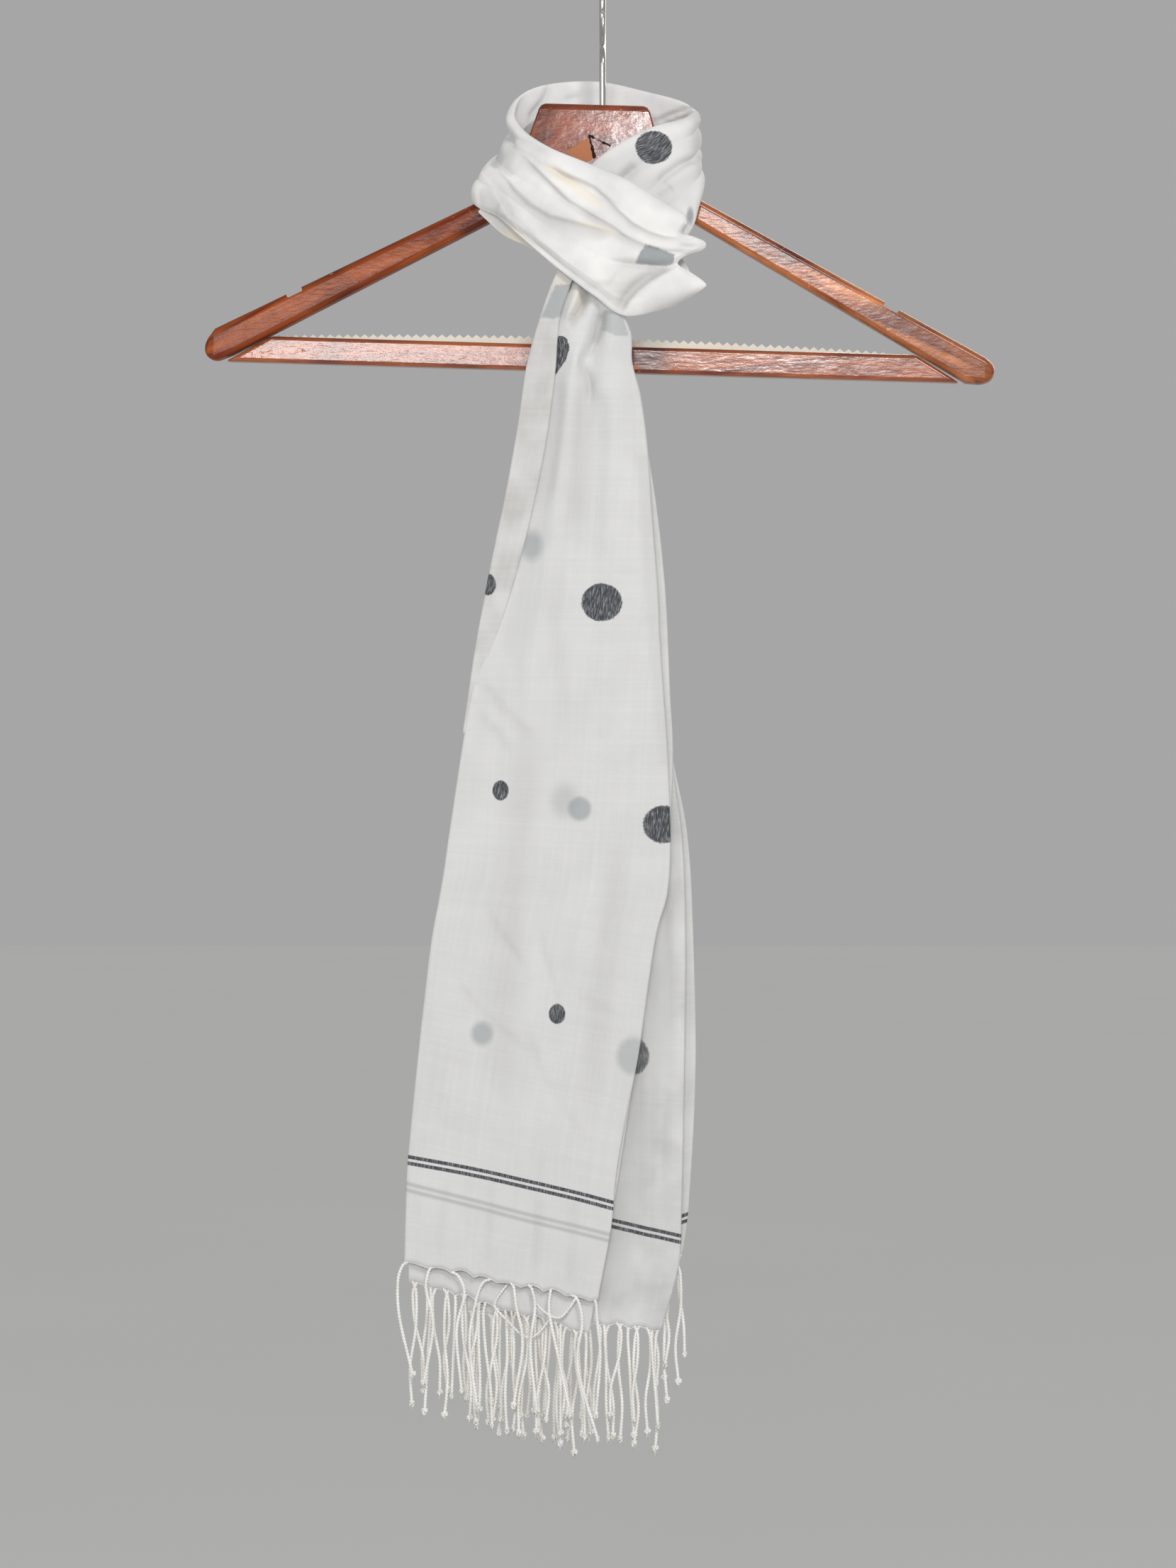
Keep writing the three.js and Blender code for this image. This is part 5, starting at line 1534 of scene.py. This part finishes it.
bpy.ops.object.mode_set(mode="EDIT")
bpy.ops.mesh.select_mode(type="EDGE")
for side in (-1, 1):
    select_parts(bar, "edges", lambda edge: at_lower_end(edge, side))
    bpy.ops.transform.translate(value=((half_foot - half_top) * side * MM, 0, 0))
bpy.ops.object.mode_set(mode="OBJECT")
add_modifier(bar, "BEVEL", width=BAR_ROUND * MM, segments=4, **SHARP)
finish_wood(bar, bar_wood, "trouser_bar")

# %% [markdown]
# ## The hook
# The hook is steel wire, nickel plated and bent cold round two formers. A disc is extruded up the
# shank, then spun round the first former and round the second one, and its tip is domed.

# %% Bending the hook
WIRE, HOOK_INSIDE, NECK_BEND = 3.5, 21.0, 10.0
HOOK_BEND = HOOK_INSIDE + WIRE / 2
HOOK_REACH = math.radians(192)  # how far the hook goes on round past the top of its neck
SHANK_FOOT = -100.3  # inside the head
# the centre of the neck's bend, and how far the wire turns round it until it meets the hook's
neck_height = -HOOK_INSIDE - math.sqrt(HOOK_BEND**2 + 2 * HOOK_BEND * NECK_BEND)
neck_turn = math.pi - math.atan2(-HOOK_INSIDE - neck_height, -NECK_BEND)
bpy.ops.object.select_all(action="DESELECT")
bpy.ops.mesh.primitive_circle_add(
    vertices=24, radius=WIRE / 2 * MM, fill_type="NGON", location=(0, 0, SHANK_FOOT * MM)
)
hook = bpy.context.object
hook.name = "hook"
bpy.ops.object.transform_apply(location=True, rotation=True, scale=True)
bpy.ops.object.mode_set(mode="EDIT")
bpy.ops.mesh.select_mode(type="FACE")
bpy.ops.mesh.select_all(action="SELECT")
bpy.ops.mesh.extrude_region_move(
    TRANSFORM_OT_translate={"value": (0, 0, (neck_height - SHANK_FOOT) * MM)}
)
neck_centre, hook_centre = (0, NECK_BEND * MM, neck_height * MM), (0, 0, -HOOK_INSIDE * MM)
bpy.ops.mesh.spin(steps=14, angle=neck_turn, center=neck_centre, axis=(1, 0, 0))
bpy.ops.mesh.spin(steps=56, angle=neck_turn + HOOK_REACH, center=hook_centre, axis=(-1, 0, 0))
bpy.ops.object.mode_set(mode="OBJECT")
tip = max(hook.data.polygons, key=lambda face: (len(face.vertices) > 4, -face.center.y))
print("the hook's tip is at", [round(v / MM, 1) for v in tip.center])
bpy.ops.object.mode_set(mode="EDIT")
# the tip is domed in three steps, each smaller and shorter than the one before
for shrink, forward in ((0.86, 0.7), (0.72, 0.5), (0.45, 0.3)):
    bm = bmesh.from_edit_mesh(hook.data)
    chosen = [face for face in bm.faces if face.select][0]
    centre, normal = chosen.calc_center_median(), chosen.normal.copy()
    bpy.ops.mesh.extrude_region_move(TRANSFORM_OT_translate={"value": normal * forward * MM})
    bpy.ops.transform.resize(value=(shrink,) * 3, center_override=centre + normal * forward * MM)
bpy.ops.object.mode_set(mode="OBJECT")
face_outwards(hook)
select_only(hook)
bpy.ops.object.shade_smooth_by_angle(angle=math.radians(40))  # the foot's rim stays sharp

steel, tree, shader = new_material("nickel_plated_steel")
place = add_node(tree, "TexCoord").outputs["Object"]
drawn = add_node(tree, "Mapping", {"Scale": (1, 1, 0.05)}, {"Vector": place})
lines = add_node(tree, "TexNoise", {"Scale": 1500.0, "Detail": 2.0}, {"Vector": drawn})
dull = add_node(tree, "TexNoise", {"Scale": 120.0, "Detail": 3.0}, {"Vector": place})
rough = add_node(tree, "MapRange", {"To Min": 0.16, "To Max": 0.26}, {"Value": dull})
tree.links.new(rough.outputs[0], shader.inputs["Roughness"])
grey = add_node(tree, "MapRange", {"From Min": 0.3, "From Max": 0.7}, {"Value": lines})
base = blend_colours(tree, grey, "#bdbab4", "#d2cfca")
tree.links.new(base, shader.inputs["Base Color"])
shader.inputs["Metallic"].default_value = 1.0
hand_over(hook, "hook_steel", steel, "hook_wire")

# %% [markdown]
# ## The pinked strip
# A strip of cream felt is glued behind the bar so that trousers don't slip. Pinking shears cut
# its upper edge into teeth, so it doesn't fray. The solid already has that shape, so it stays and
# only gets the look of pressed wool: matt, a little fuzzy and slightly yellowed.

# %% Felt
felt, tree, shader = new_material("pressed_felt")
place = add_node(tree, "TexCoord").outputs["Object"]
fuzz = add_node(tree, "TexNoise", {"Scale": 1400.0, "Detail": 4.0}, {"Vector": place})
age = add_node(tree, "TexNoise", {"Scale": 45.0, "Detail": 2.0}, {"Vector": place})
base = blend_colours(tree, age, "#f2eee4", "#e7dfcd")
tree.links.new(base, shader.inputs["Base Color"])
bump = add_node(tree, "Bump", {"Strength": 0.5, "Distance": 0.0003}, {"Height": fuzz})
tree.links.new(bump.outputs[0], shader.inputs["Normal"])
shader.inputs["Roughness"].default_value = 0.97
shader.inputs["Sheen Weight"].default_value = 0.3
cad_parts["pinked_strip"].material_slots[0].material = felt

# %% [markdown]
# ## Cloth as it was cut
# The area of one layer of each piece of cloth is printed, to show how large a stretch of the scarf it is. The
# whole scarf is cut about 0.5 m wide and 2 m long and folded, so one piece shows only one of its layers.

# %% Printing the cloth's areas


def cloth_area(piece):
    """Area of one layer, in square metres: half of what a closed shell has."""
    return sum(face.area for face in piece.data.polygons) / 2


for piece in (wrap, loop_back, tail_front, tail_side, tail_inner, tail_back, tail_far):
    print(piece.name, "one layer", round(cloth_area(piece), 4), "m2")

# %% [markdown]
# ## Floor and light
# The hook would hang on a rail at head height, so the plain floor lies 1.6 m below it. Glossy wood
# shows what it mirrors, so three small softboxes stand beside the camera, where the head, the left
# of the bar and the right arm mirror them. A larger one, high at the right, shapes the folds, a
# wide weak one at the left fills in, and one lights the back.

# %% Floor, lights and surroundings
FLOOR, FLOOR_SIZE = -1.6, 60  # in metres, as the lights are
SCARF_MIDDLE = Vector((0, 0, -0.38))
bpy.ops.object.select_all(action="DESELECT")
bpy.ops.mesh.primitive_plane_add(size=FLOOR_SIZE, location=(0, 0, FLOOR))
floor = bpy.context.object
floor.name = "floor"
floor_material, tree, shader = new_material("matt_floor")
place = add_node(tree, "TexCoord").outputs["Object"]
cloudy = add_node(tree, "TexNoise", {"Scale": 0.6}, {"Vector": place})
base = blend_colours(tree, cloudy, "#fafaf8", "#f5f5f2")
tree.links.new(base, shader.inputs["Base Color"])
shader.inputs["Roughness"].default_value = 0.95
shader.inputs["Emission Color"].default_value = linear("#f5f5f5")
shader.inputs["Emission Strength"].default_value = 0.04
floor.data.materials.append(floor_material)

LIGHT_COLUMNS = ["name", "place", "wide", "high", "power", "colour"]
LIGHTS = [
    ("front_softbox", (-0.13, -2.5, 0.25), 0.22, 0.2, 8.2, "#fffefe"),
    ("bar_softbox", (-0.57, -2.5, 0.01), 0.42, 0.16, 6.2, "#fffefe"),
    ("arm_softbox", (0.02, -2.5, 0.1), 0.46, 0.22, 2.4, "#fffefe"),
    ("high_softbox", (0.75, -1.9, 1.05), 0.6, 0.6, 21.3, "#fffefd"),
    ("left_fill", (-1.9, -1.9, 0.1), 1.2, 1.2, 6.0, "#fcfcff"),
    ("behind", (0.9, 2.4, 0.7), 1.4, 1.4, 24.0, "#fffdfa"),
]
for row in LIGHTS:
    light = dict(zip(LIGHT_COLUMNS, row))
    data = bpy.data.lights.new(light["name"], "AREA")
    data.shape, data.size, data.size_y = "RECTANGLE", light["wide"], light["high"]
    data.energy, data.color = light["power"], linear(light["colour"])[:3]
    lamp = bpy.data.objects.new(light["name"], data)
    lamp.location = light["place"]
    aim = SCARF_MIDDLE - lamp.location
    lamp.rotation_euler = aim.to_track_quat("-Z", "Y").to_euler()
    bpy.context.scene.collection.objects.link(lamp)

world = bpy.data.worlds.new("studio")
world.use_nodes = True
surround = world.node_tree.nodes["Background"].inputs
surround["Color"].default_value, surround["Strength"].default_value = linear("#d9d9d9"), 0.55
bpy.context.scene.world = world
bpy.context.scene.view_settings.view_transform = "Standard"
